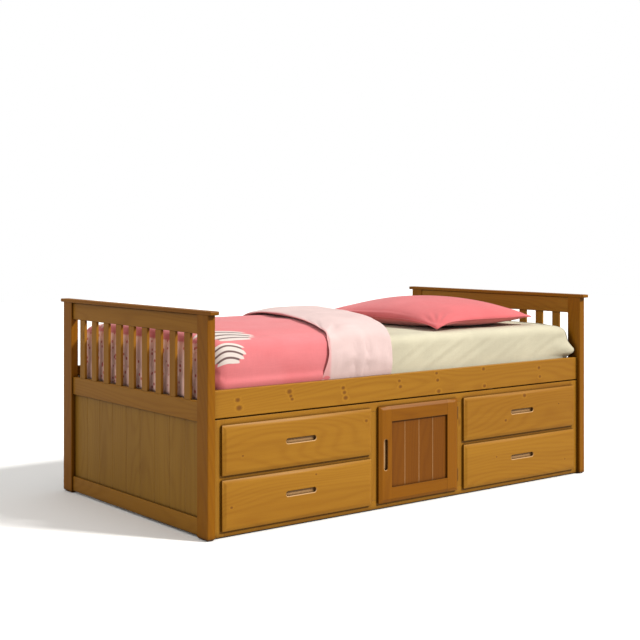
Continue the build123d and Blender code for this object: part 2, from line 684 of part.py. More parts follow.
write("side_rail_front", side_rail(-1) - screw_holes)
write("side_rail_back", side_rail(1) - screw_holes)
write("rail_brackets", [bracket - screw_holes for bracket in rail_brackets()])
write("bracket_screws", bracket_screws())
write("slat_battens", slat_battens())
write("bed_slats", bed_slats())

for piece_name, piece in chest_parts().items():
    write(piece_name, piece)

for level_name in DRAWER_FRONT_Z:
    for end_name, end_side in (("foot", -1), ("head", 1)):
        for piece_name, piece in drawer(level_name, end_side).items():
            write(f"{level_name}_{end_name}_drawer_{piece_name}", piece)

for piece_name, piece in door_parts().items():
    write(piece_name, piece)

hinge_frame_leaves, hinge_door_leaves, hinge_pins = hinge_parts()
write("hinge_frame_leaves", hinge_frame_leaves)
write("hinge_door_leaves", hinge_door_leaves)
write("hinge_pins", hinge_pins)

door_catch, door_strike = catch_parts()
write("door_catch", door_catch)
write("door_strike", door_strike)

write("mattress", mattress())
write("duvet", duvet())
write("pillow", pillow())
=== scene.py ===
import math
from functools import reduce

import bpy
import numpy as np
from bpy.props import FloatProperty, FloatVectorProperty, PointerProperty
from bpy.types import Operator, Panel, PropertyGroup
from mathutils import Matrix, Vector


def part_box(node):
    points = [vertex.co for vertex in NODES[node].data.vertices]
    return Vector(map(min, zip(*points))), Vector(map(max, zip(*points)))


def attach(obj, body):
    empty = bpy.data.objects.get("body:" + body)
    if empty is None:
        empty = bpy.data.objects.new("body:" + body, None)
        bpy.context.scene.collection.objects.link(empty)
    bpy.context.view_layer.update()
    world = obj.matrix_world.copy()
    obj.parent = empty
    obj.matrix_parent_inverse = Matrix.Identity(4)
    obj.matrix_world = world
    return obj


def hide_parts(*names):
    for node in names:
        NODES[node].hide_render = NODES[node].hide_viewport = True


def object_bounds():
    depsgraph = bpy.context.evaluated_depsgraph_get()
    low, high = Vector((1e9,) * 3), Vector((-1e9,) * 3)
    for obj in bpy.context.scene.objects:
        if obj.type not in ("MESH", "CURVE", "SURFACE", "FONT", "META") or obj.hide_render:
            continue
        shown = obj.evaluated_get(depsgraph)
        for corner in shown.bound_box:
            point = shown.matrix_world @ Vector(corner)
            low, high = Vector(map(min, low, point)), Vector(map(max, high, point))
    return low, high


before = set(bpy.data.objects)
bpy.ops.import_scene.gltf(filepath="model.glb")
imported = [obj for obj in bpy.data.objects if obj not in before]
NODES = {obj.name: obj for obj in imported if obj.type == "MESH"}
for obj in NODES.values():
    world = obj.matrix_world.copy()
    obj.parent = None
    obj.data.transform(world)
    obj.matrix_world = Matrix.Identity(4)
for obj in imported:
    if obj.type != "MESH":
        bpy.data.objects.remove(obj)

bl_info = {
    "name": "Captain's bed",
    "version": (1, 0, 0),
    "blender": (4, 5, 0),
    "location": "View3D > Sidebar > Bed",
    "description": "Finishes a pine captain's bed and makes its mattress and bedding",
    "category": "Object",
}

CAD_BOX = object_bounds()
MM = 0.001


# ---- Surface finishes ------------------------------------------------------------------------
def operation(name, turned=False):
    """A method that puts its values through a Math node, the last one first if turned."""

    def method(self, *others):
        values = (self, *others)
        values = values[::-1] if turned else values
        return self.finish.node("Math", {"operation": name}, values)

    return method


class Value:
    """A number, colour or vector that varies over a surface. Arithmetic on it adds Math nodes."""

    def __init__(self, finish, socket):
        self.finish = finish
        self.socket = socket

    __add__ = __radd__ = operation("ADD")
    __sub__ = operation("SUBTRACT")
    __rsub__ = operation("SUBTRACT", turned=True)
    __mul__ = __rmul__ = operation("MULTIPLY")
    __pow__ = operation("POWER")
    __abs__ = operation("ABSOLUTE")
    at_least = operation("MAXIMUM")
    sine = operation("SINE")

    def ramp(self, start, end):
        """0 up to start and 1 past end, with a smooth rise; start may be the larger."""
        settings = {"interpolation_type": "SMOOTHSTEP"}
        sockets = {"Value": self, "From Min": start, "From Max": end}
        return self.finish.node("MapRange", settings, sockets)


class Finish:
    """A new material with a Principled shader, and the one way that its other nodes are made."""

    def __init__(self, name):
        self.material = bpy.data.materials.new(name)
        self.material.use_nodes = True
        self.tree = self.material.node_tree
        self.shader = self.tree.nodes["Principled BSDF"]

    def feed(self, socket, value):
        if isinstance(value, Value):
            self.tree.links.new(value.socket, socket)
        else:
            socket.default_value = value

    def node(self, kind, settings=None, sockets=(), output=0):
        """One shader node: its settings are set first, then its sockets' values or links."""
        made = self.tree.nodes.new("ShaderNode" + kind)
        for name, value in (settings or {}).items():
            setattr(made, name, value)
        pairs = sockets.items() if isinstance(sockets, dict) else enumerate(sockets)
        for key, value in pairs:
            self.feed(made.inputs[key], value)
        return Value(self, made.outputs[output])

    def vector(self, operation, *values, output=0):
        return self.node("VectorMath", {"operation": operation}, values, output)

    def mix(self, share, first, second):
        """A colour between two colours."""
        sockets = {0: share, 6: first, 7: second}
        return self.node("Mix", {"data_type": "RGBA"}, sockets, output=2)

    def place(self):
        """The surface's place in the bed's own frame, as three numbers."""
        return self.split(self.node("TexCoord", output=3))

    def split(self, vector):
        """A vector's three numbers."""
        return [self.node("SeparateXYZ", None, [vector], output=i) for i in range(3)]

    def joined(self, x, y, z):
        return self.node("CombineXYZ", None, [x, y, z])

    def noise(self, where, scale=1.0, detail=2.0):
        sockets = {"Vector": where, "Scale": scale, "Detail": detail}
        return self.node("TexNoise", None, sockets)

    def drawn_out(self, place, scales, detail=2.0):
        """Noise with its own scale in each direction."""
        where = self.joined(*(value * scale for value, scale in zip(place, scales)))
        return self.noise(where, detail=detail)

    def cells(self, where, scale, output=0, **sockets):
        """A surface of random cells: 0 gives the distance to a cell's middle, 1 its colour."""
        sockets = {"Vector": where, "Scale": scale, **sockets}
        return self.node("TexVoronoi", None, sockets, output)

    def bump(self, height, strength, distance):
        sockets = {"Strength": strength, "Distance": distance, "Height": height}
        return self.node("Bump", None, sockets)

    def set(self, **sockets):
        """Set or link the shader's own sockets, named with underscores for spaces."""
        for name, value in sockets.items():
            self.feed(self.shader.inputs[name.replace("_", " ")], value)
        return self.material


def rgba(colour, shade=1.0):
    """A colour property as a socket's four numbers, lighter or darker by shade."""
    return (*(min(channel * shade, 1.0) for channel in colour), 1.0)


GRAIN_ORDER = {"X": (0, 2, 1), "Y": (1, 2, 0), "Z": (2, 0, 1)}


def wear_and_edge_highlight(finish, radius=2.5 * MM):
    """1 on sharp edges and 0 on flat faces, for rubbed wear and a painted highlight."""
    rounded = finish.node("Bevel", {"samples": 4}, {"Radius": radius})
    true = finish.node("NewGeometry", output=1)
    turned = finish.vector("DOT_PRODUCT", rounded, true, output=1)
    return (1 - turned).ramp(0.01, 0.16)


def shade_in_corners(finish, reach=30 * MM):
    """1 in tight corners and 0 on open faces, for a painted shade in corners and gaps."""
    settings = {"samples": 6}
    openness = finish.node("AmbientOcclusion", settings, {"Distance": reach}, output=1)
    return (1 - openness).ramp(0.10, 0.50)


def stray_knots(finish, timber, share):
    """How near the surface is to one of the small knots scattered through pine, from 0 to 1."""
    along, across, through = timber
    where = finish.joined(along * 2.6, across * 6.5, through * 6.5)
    distance, colour = (finish.cells(where, 1.0, i, Randomness=0.9) for i in (0, 1))
    chosen = finish.node("SeparateColor", None, [colour]).ramp(1 - share, 1.001 - share)
    return distance.ramp(0.16, 0.0) * chosen


def nearest(masks):
    """The largest of several masks."""
    return reduce(Value.at_least, masks)


KNOT_STRETCH = 0.75  # a knot is longer along the grain than across it
KNOT_REACH = 2.6  # how far it bends the grain, in its own radii


def placed_knots(finish, along, across, knots):
    """The same for knots at (along, across, radius) in metres."""
    where = finish.joined(along * KNOT_STRETCH, across, 0.0)
    centres = [((x * KNOT_STRETCH, z, 0.0), radius) for x, z, radius in knots]
    return nearest(
        finish.vector("DISTANCE", where, centre, output=1).ramp(radius * KNOT_REACH, 0.0)
        for centre, radius in centres
    )


def pine(name, grain, colours, knots=(), stray=0.3, figure=1.0, bare_mask=None, lines=None,
         corner_shade=0.8):
    """Pine with growth rings, fibres and knots; grain is the axis that the boards run along.

    colours are the early wood, the late wood, the knots and the bare wood; the bare wood's
    colour is also a painted highlight on the joint lines. bare_mask and lines are functions that
    say where the stain is missing and where a joint shows as a pale line, and the last argument
    is how strongly corners and gaps are darkened, a painted shade.
    """
    finish = Finish(name)
    place = finish.place()
    timber = along, across, through = [place[i] for i in GRAIN_ORDER[grain]]
    light, dark, knot, bare = colours
    near = stray_knots(finish, timber, stray)
    if knots:
        near = near.at_least(placed_knots(finish, along, across, knots))
    warp = finish.drawn_out(timber, (0.9, 5.0, 5.0), 1.0)
    drift = finish.drawn_out(timber, (6.0, 22.0, 22.0), 1.0)
    rings = warp * 20.0 + drift * 0.5 + across * 44.0 + through * 24.0 + near * 1.5
    ring = (rings * (2 * math.pi)).sine() * 0.5 + 0.5
    late = ring * ring * (0.26 * figure)
    fibre = finish.drawn_out(timber, (9.0, 420.0, 420.0))
    streak = finish.drawn_out(timber, (1.7, 55.0, 55.0), 3.0)
    board = finish.drawn_out(timber, (0.5, 7.0, 7.0), 0.0)
    share = late + (streak - 0.5) * 0.7 + (fibre - 0.5) * 0.35 + (board - 0.5) * 0.9 + 0.25
    halo = near.ramp(0.12, 0.50) * (1 - near.ramp(0.50, 0.62))
    # Edges are lightened: partly rubbed wear, partly a painted highlight where they catch the
    # light.
    worn_and_lit = wear_and_edge_highlight(finish) * (streak.ramp(0.30, 0.62) * 0.35)
    layers = [
        (halo * 0.30, rgba(light, 1.25)),
        (near.ramp(0.56, 0.96) * 0.80, rgba(knot)),
        (worn_and_lit, rgba(light, 1.35)),
    ]
    # The bare colour is real bare wood in the pulls, and a painted highlight on the joint lines.
    layers += [(mask(place), rgba(bare)) for mask in (lines, bare_mask) if mask]
    # Painted shade: the wood is darkened in corners and gaps, where shadow falls.
    if corner_shade:
        layers.append((shade_in_corners(finish) * corner_shade, rgba(dark, 0.30)))
    wood = finish.mix(share.ramp(-0.25, 1.15), rgba(light), rgba(dark))
    for mask, colour in layers:
        wood = finish.mix(mask, wood, colour)
    height = fibre * 0.5 + late * 0.6 - near * 0.3
    return finish, wood, late, height


def lacquered(name, grain, colours, **options):
    """Stained pine under satin lacquer."""
    finish, wood, late, height = pine(name, grain, colours, **options)
    return finish.set(
        Base_Color=wood,
        Roughness=late * 0.10 + 0.40,
        Normal=finish.bump(height, 0.22, 0.5 * MM),
        Coat_Weight=0.06,
        Coat_Roughness=0.28,
        Specular_IOR_Level=0.15,
    )


def unfinished(name, grain, colours, **options):
    """Planed pine with nothing on it."""
    finish, wood, late, height = pine(name, grain, colours, corner_shade=0, **options)
    return finish.set(
        Base_Color=wood,
        Roughness=late * 0.08 + 0.66,
        Normal=finish.bump(height, 0.35, 0.6 * MM),
        Specular_IOR_Level=0.3,
    )


PLY = 1.5 * MM


def plywood(name, colour, core, grain, plies_along):
    """Thin plywood: a peeled face veneer, and plies of alternate tone on the edges."""
    finish = Finish(name)
    place = finish.place()
    timber = [place[i] for i in GRAIN_ORDER[grain]]
    rings = (finish.drawn_out(timber, (0.8, 3.2, 3.2)) * 150.0).sine() * 0.5 + 0.5
    fibre = finish.drawn_out(timber, (8.0, 300.0, 300.0))
    veneer = finish.mix(rings * 0.30 + fibre * 0.25, rgba(colour), rgba(colour, 0.68))
    sides = finish.split(finish.node("NewGeometry", output=1))
    face = abs(sides[plies_along]).ramp(0.4, 0.6)
    plies = (place[plies_along] * (math.pi / PLY)).sine().ramp(-0.3, 0.3)
    edge = finish.mix(plies, rgba(colour, 0.9), rgba(core))
    return finish.set(
        Base_Color=finish.mix(face, edge, veneer),
        Roughness=fibre * 0.1 + 0.62,
        Normal=finish.bump(fibre * 0.6 + rings * 0.2, 0.3, 0.4 * MM),
        Specular_IOR_Level=0.3,
    )


def plated_steel(name, colour, dull=0.0):
    """Zinc plate or bronze lacquer over rolled steel, with a faint spangle and rubbed edges."""
    finish = Finish(name)
    place = finish.place()
    where = finish.joined(*place)
    spangle = finish.cells(where, 260.0, 1)
    tone = finish.node("SeparateColor", None, [spangle])
    rolled = finish.drawn_out(place, (60.0, 60.0, 900.0), 3.0)
    grime = finish.noise(where, scale=90.0, detail=3.0).ramp(0.48, 0.75)
    metal = finish.mix(tone * 0.25, rgba(colour), rgba(colour, 0.72))
    metal = finish.mix(grime * 0.35, metal, rgba(colour, 0.45))
    metal = finish.mix(wear_and_edge_highlight(finish, 0.8 * MM) * 0.5, metal, rgba(colour, 1.25))
    return finish.set(
        Base_Color=metal,
        Metallic=1.0,
        Roughness=rolled * 0.22 + tone * 0.08 + (0.24 + dull),
        Normal=finish.bump(rolled, 0.12, 0.1 * MM),
    )


def moulded_plastic(name, colour):
    """Moulded plastic with a fine spark-eroded grain."""
    finish = Finish(name)
    where = finish.joined(*finish.place())
    grain = finish.noise(where, scale=1800.0)
    flow = finish.noise(where, scale=40.0)
    return finish.set(
        Base_Color=finish.mix(flow.ramp(0.3, 0.7) * 0.4, rgba(colour), rgba(colour, 0.75)),
        Roughness=grain * 0.2 + 0.42,
        Normal=finish.bump(grain, 0.25, 0.1 * MM),
    )


def woven(name, colour, thread=0.9 * MM, slub=0.35, tint=None, marks=None, sheen=0.25):
    """Plain-weave cotton: crossing threads, slubs and a slow change of tone.

    tint is a second colour for the slow change, and marks adds a printed pattern.
    """
    finish = Finish(name)
    place = finish.place()
    x, y, z = place
    turn = math.pi / thread
    weave = ((x + z * 0.35) * turn).sine() * ((y + z) * turn).sine()
    where = finish.joined(x, y, z)
    slubs = finish.drawn_out((x, y + z, z), (14.0, 260.0, 20.0))
    cross = finish.drawn_out((x, y + z, z), (260.0, 14.0, 20.0))
    cloud = finish.noise(where, scale=7.0, detail=3.0)
    lint = finish.noise(where, scale=420.0)
    second = rgba(tint) if tint else rgba(colour, 0.82)
    cloth = finish.mix(cloud.ramp(0.32, 0.70) * 0.55, rgba(colour), second)
    shade = (slubs - 0.5) * slub + (cross - 0.5) * slub + (lint - 0.5) * 0.25 + weave * 0.06
    cloth = finish.mix((shade + 0.22).ramp(0.0, 1.0) * 0.55, cloth, rgba(colour, 0.55))
    if marks:
        cloth = marks(finish, place, cloth)
    height = weave * 0.5 + slubs * 0.8 + cross * 0.8 + lint * 0.3
    return finish.set(
        Base_Color=cloth,
        Roughness=lint * 0.1 + 0.82,
        Normal=finish.bump(height, 0.35, 0.35 * MM),
        Sheen_Weight=sheen,
        Sheen_Roughness=0.45,
        Specular_IOR_Level=0.25,
    )


# ---- Settings --------------------------------------------------------------------------------
def paint(name, description, default):
    return FloatVectorProperty(
        name=name, description=description, default=default, size=3, min=0, max=1, subtype="COLOR"
    )


def number(name, description, default, **kind):
    return FloatProperty(name=name, description=description, default=default, **kind)


def length(name, description, metres):
    return number(name, description, metres, unit="LENGTH")


def angle(name, description, degrees):
    return number(name, description, math.radians(degrees), subtype="ANGLE")


class StageSettings(PropertyGroup):
    """Camera and light."""

    view_turn: angle("View turn", "How far the camera looks to the right of straight on", 37.86)
    view_distance: length("View distance", "From the camera to the bed's middle", 5.2096)
    view_side: length("View side step", "How far the bed is to the right of the view", 0.1166)
    view_height: length("View height", "Height of the camera above the floor", 1.0539)
    lens: number("Lens", "Focal length on a 36 mm sensor, in millimetres", 68.08)
    key_strength: number("Key light", "Strength of the key light", 3.9)
    key_turn: angle("Key turn", "Turn of the key light to the right of straight on", 35)
    key_height: angle("Key height", "Angle of the key light above the floor", 38)
    key_softness: angle("Key softness", "How wide the key light looks from the bed", 7)
    overhead_strength: number("Overhead light", "Strength of the wide light above the bed", 0.9)
    side_strength: number("Side light", "Strength of the wide light beyond the foot", 0.8)
    fill_strength: number("Fill light", "Strength of the even light from all round", 0.36)
    fill_colour: paint("Fill colour", "Colour of the even light", (1.0, 0.99, 0.97))
    floor_colour: paint("Floor colour", "Colour of the floor", (0.95, 0.95, 0.95))
    floor_bounce: paint("Floor bounce", "Colour of the floor's light", (0.42, 0.40, 0.37))


class TimberSettings(PropertyGroup):
    """Colours of the timber, the boards and the fittings."""

    stain_knot: paint("Knots", "Stained knots", (0.150, 0.050, 0.008))
    # Bare wood in the finger pulls, and also the painted highlight on the joint lines of the
    # boards.
    bare_and_groove_highlight: paint("Bare cut edges", "Wood cut after staining", (0.56, 0.33, 0.15))
    bare_light: paint("Bare pine", "Unfinished early wood", (0.60, 0.43, 0.24))
    bare_dark: paint("Bare pine rings", "Unfinished late wood", (0.46, 0.28, 0.13))
    bare_knot: paint("Bare knots", "Knots in unfinished pine", (0.20, 0.095, 0.04))
    ply_face: paint("Plywood", "Face veneer", (0.60, 0.45, 0.27))
    ply_core: paint("Plywood core", "Dark plies on the edge", (0.36, 0.24, 0.13))
    steel: paint("Zinc plate", "Brackets, screws and strike", (0.60, 0.61, 0.62))
    bronze: paint("Bronze lacquer", "Hinges", (0.21, 0.105, 0.045))
    plastic: paint("Catch plastic", "Body of the door catch", (0.16, 0.085, 0.045))
    bevel: length("Softened edges", "Width of the rounding on timber edges", 1.2 * MM)


# The stain's tones, the first that fits being the one a piece has: words in the nodes' names,
# what the tone is on, and its early and late wood.
TONES = {
    "fronts": (("side_rail", "face_", "drawer_front"), "Rails and drawers",
               (0.358, 0.164, 0.014), (0.259, 0.102, 0.007)),
    "posts": (("post", "cap"), "Posts and caps", (0.258, 0.096, 0.001), (0.171, 0.055, 0.001)),
    "ends": (("top_rail", "middle_rail", "bottom_rail", "slats"), "Rails and slats of the ends",
             (0.316, 0.139, 0.013), (0.217, 0.085, 0.006)),
    "boards": (("door_boards",), "Boards of the door",
               (0.185, 0.058, 0.002), (0.130, 0.037, 0.001)),
    "door": (("door_",), "Frame of the door", (0.254, 0.090, 0.002), (0.178, 0.056, 0.001)),
    "panels": (("panel_boards",), "Boards of the ends",
               (0.304, 0.153, 0.019), (0.215, 0.098, 0.011)),
}
for tone, (_, pieces, early, late) in TONES.items():
    title = tone.title()
    TimberSettings.__annotations__[tone + "_light"] = paint(title + ", early wood", pieces, early)
    TimberSettings.__annotations__[tone + "_dark"] = paint(title + ", late wood", pieces, late)


class BeddingSettings(PropertyGroup):
    """Sizes and colours of the mattress and the bedding."""

    ticking: paint("Ticking", "Mattress ticking", (0.72, 0.70, 0.64))
    sheet: paint("Fitted sheet", "Fitted sheet", (0.573, 0.532, 0.394))
    cover: paint("Duvet cover", "Outer face of the duvet", (0.67, 0.185, 0.200))
    cover_deep: paint("Duvet cover, deep", "Slow change of tone", (0.63, 0.140, 0.152))
    lining: paint("Duvet lining", "Inner face of the duvet", (0.69, 0.515, 0.50))
    print_pale: paint("Print, pale", "Pale ovals on the duvet", (0.66, 0.58, 0.54))
    print_dark: paint("Print, dark", "Stripes on the pale ovals", (0.085, 0.030, 0.032))
    border: paint("Border", "Border of the duvet at the foot", (1.0, 0.640, 0.555))
    border_mark: paint("Border marks", "Small marks on the border", (0.576, 0.054, 0.048))
    pillow: paint("Pillowcase", "Pillowcase", (0.64, 0.130, 0.140))
    piping: paint("Piping", "Piping round the pillow", (0.60, 0.120, 0.130))
    duvet_loft: length("Duvet loft", "Thickness of the duvet on top of the mattress", 0.053)
    turned_loft: length("Turned-back loft", "How much the turned-back part adds", 0.015)
    fold_x: length("Fold", "Where the fold crosses the bed's middle", 0.006)
    turned_width: length("Turned-back width", "From the fold to the free edge", 0.298)
    fold_skew: number("Fold skew", "How far the fold leans for each metre across", 0.29)


# ---- Mesh and cloth helpers ------------------------------------------------------------------
def add_object(name, data):
    made = bpy.data.objects.new(name, data)
    bpy.context.scene.collection.objects.link(made)
    return made


def new_object(name, points, faces, material):
    """A smooth-shaded mesh object from an array of points and lists of corners."""
    mesh = bpy.data.meshes.new(name)
    mesh.from_pydata([tuple(map(float, p)) for p in points], [], faces)
    mesh.materials.append(material)
    mesh.polygons.foreach_set("use_smooth", [True] * len(mesh.polygons))
    mesh.validate()
    mesh.update()
    return add_object(name, mesh)


def points_of(piece):
    flat = np.zeros(len(piece.data.vertices) * 3, np.float32)
    piece.data.vertices.foreach_get("co", flat)
    return flat.reshape(-1, 3).astype(float)


def set_points(piece, points):
    piece.data.vertices.foreach_set("co", np.asarray(points, np.float32).ravel())
    piece.data.update()


def puff(piece, held, pressure, frames, most=None, mass=0.3, stiffness=15.0, bending=0.5):
    """Fill a closed cloth piece with air for some frames, and keep its simulated shape.

    held are the points' pin weights, and most is how far a point may end from where it began.
    """
    start = points_of(piece)
    group = piece.vertex_groups.new(name="held")
    for weight in np.unique(held):
        if weight > 0:
            members = np.nonzero(held == weight)[0].tolist()
            group.add(members, float(weight), "REPLACE")
    cloth = piece.modifiers.new("cloth", "CLOTH")
    settings = cloth.settings
    settings.quality = 6
    settings.mass = mass
    settings.tension_stiffness = settings.compression_stiffness = stiffness
    settings.shear_stiffness = stiffness / 3
    settings.bending_stiffness = bending
    settings.use_pressure = True
    settings.uniform_pressure_force = pressure
    settings.effector_weights.gravity = 0.0
    settings.vertex_group_mass = "held"
    settings.pin_stiffness = 1.0
    cloth.collision_settings.use_collision = False
    cloth.point_cache.frame_start = 1
    cloth.point_cache.frame_end = frames
    scene = bpy.context.scene
    for frame_number in range(1, frames + 1):
        scene.frame_set(frame_number)
    end = points_of(piece.evaluated_get(bpy.context.evaluated_depsgraph_get()))
    piece.modifiers.remove(cloth)
    piece.vertex_groups.remove(group)
    scene.frame_set(1)
    if most:
        moved = end - start
        far = np.linalg.norm(moved, axis=1, keepdims=True)
        end = start + moved * (most * np.tanh(far / most) / np.maximum(far, 1e-9))
    set_points(piece, end)


def subdivide(piece):
    """One finer, rounder mesh for a soft piece."""
    finer = piece.modifiers.new("finer", "SUBSURF")
    finer.levels = finer.render_levels = 1


def rise(value, start, end):
    """0 up to start and 1 past end, with a smooth rise between."""
    share = np.clip((value - start) / (end - start), 0, 1)
    return share * share * (3 - 2 * share)


def bell(value, middle, width):
    """1 at the middle, dying away over the width on both sides."""
    return np.exp(-(((value - middle) / width) ** 2))


class Edge:
    """The way a cover falls over an edge: (outward, down) points, read by distance travelled."""

    SAMPLES = 400

    def __init__(self, points):
        points = np.array(points, float)
        padded = np.vstack([2 * points[0] - points[1], points, 2 * points[-1] - points[-2]])
        share = np.linspace(0, len(points) - 1, self.SAMPLES)
        first = np.minimum(share.astype(int), len(points) - 2)
        t = (share - first)[:, None]
        a, b, c, d = (padded[first + i] for i in range(4))
        square, cube = 2 * a - 5 * b + 4 * c - d, 3 * b - a - 3 * c + d
        curve = 0.5 * (2 * b + (c - a) * t + square * t**2 + cube * t**3)
        steps = np.linalg.norm(np.diff(curve, axis=0), axis=1)
        self.travelled = np.concatenate([[0], np.cumsum(steps)])
        self.length = self.travelled[-1]
        self.curve = curve
        self.reach = points[:, 0].max()

    def at(self, share):
        """Outward and down at a share of the whole way."""
        travelled = np.clip(share, 0, 1) * self.length
        return [np.interp(travelled, self.travelled, self.curve[:, i]) for i in (0, 1)]


def past(value, low, high):
    """How far a value lies past a range: negative below it, positive above it."""
    return np.maximum(value - high, 0) + np.minimum(value - low, 0)


def laid_over(flat_x, flat_y, flat_end, x_range, y_range, top, edge, foot_share=1.0):
    """Lay flat points over a block with rounded edges. Returns the places and the share fallen.

    Inside the ranges the cover lies at height top; past them it follows edge, which it has run
    down wholly once it is flat_end past the range. foot_share narrows it at the ends.
    """
    past_x, past_y = past(flat_x, *x_range), past(flat_y, *y_range)
    far = np.hypot(past_x, past_y)
    fallen = np.clip(far / flat_end, 0, 1)
    outward, down = edge.at(fallen)
    turn_x, turn_y = past_x / np.maximum(far, 1e-9), past_y / np.maximum(far, 1e-9)
    outward = outward * (turn_y**2 + foot_share * turn_x**2 + (far < 1e-9))
    x = np.clip(flat_x, *x_range) + turn_x * outward
    y = np.clip(flat_y, *y_range) + turn_y * outward
    return np.stack([x, y, top - down], axis=-1), fallen


def flat_grid(x, y):
    """The x and the y of every pair of places from two rows, numbered row by row."""
    return [column.ravel() for column in np.meshgrid(x, y, indexing="ij")]


def grid_faces(rows, columns, keep=None):
    """Quads over a grid of points numbered row by row; keep says which points may be used."""
    faces = []
    for i in range(rows - 1):
        for j in range(columns - 1):
            first = i * columns + j
            corners = [first, first + 1, first + columns + 1, first + columns]
            if keep is None or any(keep[c] for c in corners):
                faces.append(corners)
    return faces


FALLEN = 0.9999  # past this share a cover has run out


def covering(low, high, inset, flat_end, step, top, edge):
    """A cloth over a whole block: its points, the shares fallen, its quads and the flat grid."""
    x_range, y_range = ((low[i] + inset, high[i] - inset) for i in (0, 1))
    x, y = (np.arange(a - flat_end, b + flat_end + step, step) for a, b in (x_range, y_range))
    flat = flat_grid(x, y)
    points, fallen = laid_over(*flat, flat_end, x_range, y_range, top, edge)
    return points, fallen, grid_faces(len(x), len(y), fallen < FALLEN), *flat


def closed_faces(outer, offset):
    """An outer skin's quads, the same quads turned over for the inner skin, and the rim."""
    inner = [[c + offset for c in reversed(face)] for face in outer]
    uses = {}
    for face in outer:
        for a, b in zip(face, face[1:] + face[:1]):
            uses[(a, b)] = uses.get((a, b), 0) + 1
    rim = [[b, a, a + offset, b + offset] for a, b in uses if (b, a) not in uses]
    return outer + inner + rim


def without_loose(points, faces):
    """Only the points that some face uses, and the faces with their new numbers."""
    used = sorted({c for face in faces for c in face})
    number = {old: new for new, old in enumerate(used)}
    return points[used], [[number[c] for c in face] for face in faces], used


def fine_noise(points, scale, seed):
    """A smooth random field of waves that don't repeat across the bed, about -1 to 1."""
    rng = np.random.default_rng(seed)
    total = np.zeros(len(points))
    for _ in range(7):
        direction = rng.normal(size=3)
        direction /= np.linalg.norm(direction)
        wave = points @ direction * (2 * math.pi / scale) * rng.uniform(0.6, 1.5)
        total += np.sin(wave + rng.uniform(0, 2 * math.pi))
    return total / 3.5


# ---- Stage -----------------------------------------------------------------------------------
SENSOR_WIDTH = 36  # millimetres
FRAME_SHIFT = (0.0218, -0.1305)  # the frame is moved right and down, and the camera stays level
VIEW_END = 60
FLOOR_HALF = 14.0
LAMP_COLOUR = (1.0, 0.98, 0.94)
WIDE = math.radians(60)  # softness of the two wide lights
ASIDE = (math.radians(68), math.radians(-80))  # lean and turn of the light beyond the foot


class BED_OT_stage(Operator):
    """Lay the floor, light the bed and set up the camera"""

    bl_idname = "bed.stage"
    bl_label = "Stage"

    def execute(self, context):
        scene = context.scene
        settings = scene.bed_stage
        low, high = CAD_BOX
        middle = (low + high) / 2
        self.lay_floor(settings, low.z)
        self.add_lights(scene, settings)
        camera_data = bpy.data.cameras.new("camera")
        camera = add_object("camera", camera_data)
        turn = settings.view_turn
        ahead = Vector((math.sin(turn), math.cos(turn), 0))
        right = Vector((math.cos(turn), -math.sin(turn), 0))
        place = middle - ahead * settings.view_distance - right * settings.view_side
        place.z = low.z + settings.view_height
        camera.location = place
        camera.rotation_euler = (math.radians(90), 0, -turn)
        camera_data.lens = settings.lens
        camera_data.sensor_width = SENSOR_WIDTH
        camera_data.shift_x, camera_data.shift_y = FRAME_SHIFT
        camera_data.clip_end = VIEW_END
        scene.camera = camera
        scene.view_settings.view_transform = "Standard"
        return {"FINISHED"}

    def lay_floor(self, settings, height):
        finish = Finish("studio_floor")
        where = finish.joined(*finish.place())
        mottle = finish.noise(where, scale=2.0, detail=3.0)
        colour = settings.floor_colour
        colour = finish.mix(mottle * 0.3, rgba(colour), rgba(colour, 0.96))
        path = finish.node("LightPath")
        colour = finish.mix(path, rgba(settings.floor_bounce), colour)
        finish.set(Base_Color=colour, Roughness=0.9, Specular_IOR_Level=0.1)
        corners = [(-1, -1), (1, -1), (1, 1), (-1, 1)]
        points = np.array([(x * FLOOR_HALF, y * FLOOR_HALF, height) for x, y in corners])
        floor = new_object("studio_floor", points, [[0, 1, 2, 3]], finish.material)

    def add_lights(self, scene, settings):
        """Three lights, an even fill and a white backdrop that gives no light itself."""
        world = bpy.data.worlds.new("studio")
        scene.world = world
        world.use_nodes = True
        tree = world.node_tree
        fill = tree.nodes["Background"]
        fill.inputs["Color"].default_value = rgba(settings.fill_colour)
        fill.inputs["Strength"].default_value = settings.fill_strength
        kinds = ("LightPath", "Background", "MixShader")
        path, backdrop, either = (tree.nodes.new("ShaderNode" + kind) for kind in kinds)
        backdrop.inputs["Color"].default_value = (1.0, 1.0, 1.0, 1.0)
        for node, socket in zip((path, fill, backdrop), either.inputs):
            tree.links.new(node.outputs[0], socket)
        tree.links.new(either.outputs[0], tree.nodes["World Output"].inputs["Surface"])
        lean = math.pi / 2 - settings.key_height
        self.add_sun("key", settings.key_strength, settings.key_softness, (lean, settings.key_turn))
        self.add_sun("overhead", settings.overhead_strength, WIDE, (0, 0))
        self.add_sun("side", settings.side_strength, WIDE, ASIDE)

    def add_sun(self, name, strength, softness, lean_and_turn):
        data = bpy.data.lights.new(name, "SUN")
        data.energy = strength
        data.angle = softness
        data.color = LAMP_COLOUR
        lean, turn = lean_and_turn
        add_object(name, data).rotation_euler = (lean, 0, turn)


# ---- Timber ----------------------------------------------------------------------------------
GRAIN_ALONG = {
    "X": ("side_rail", "face_top", "face_bottom", "face_drawer", "door_rails", "drawer_front",
          "drawer_back", "drawer_bottom", "slat_battens", "cupboard_floor", "chest_back"),
    "Y": ("cap", "top_rail", "middle_rail", "bottom_rail", "bed_slats", "drawer_sides", "runners"),
    "Z": ("post", "slats", "boards", "stile", "chest_end", "chest_dividers"),
}


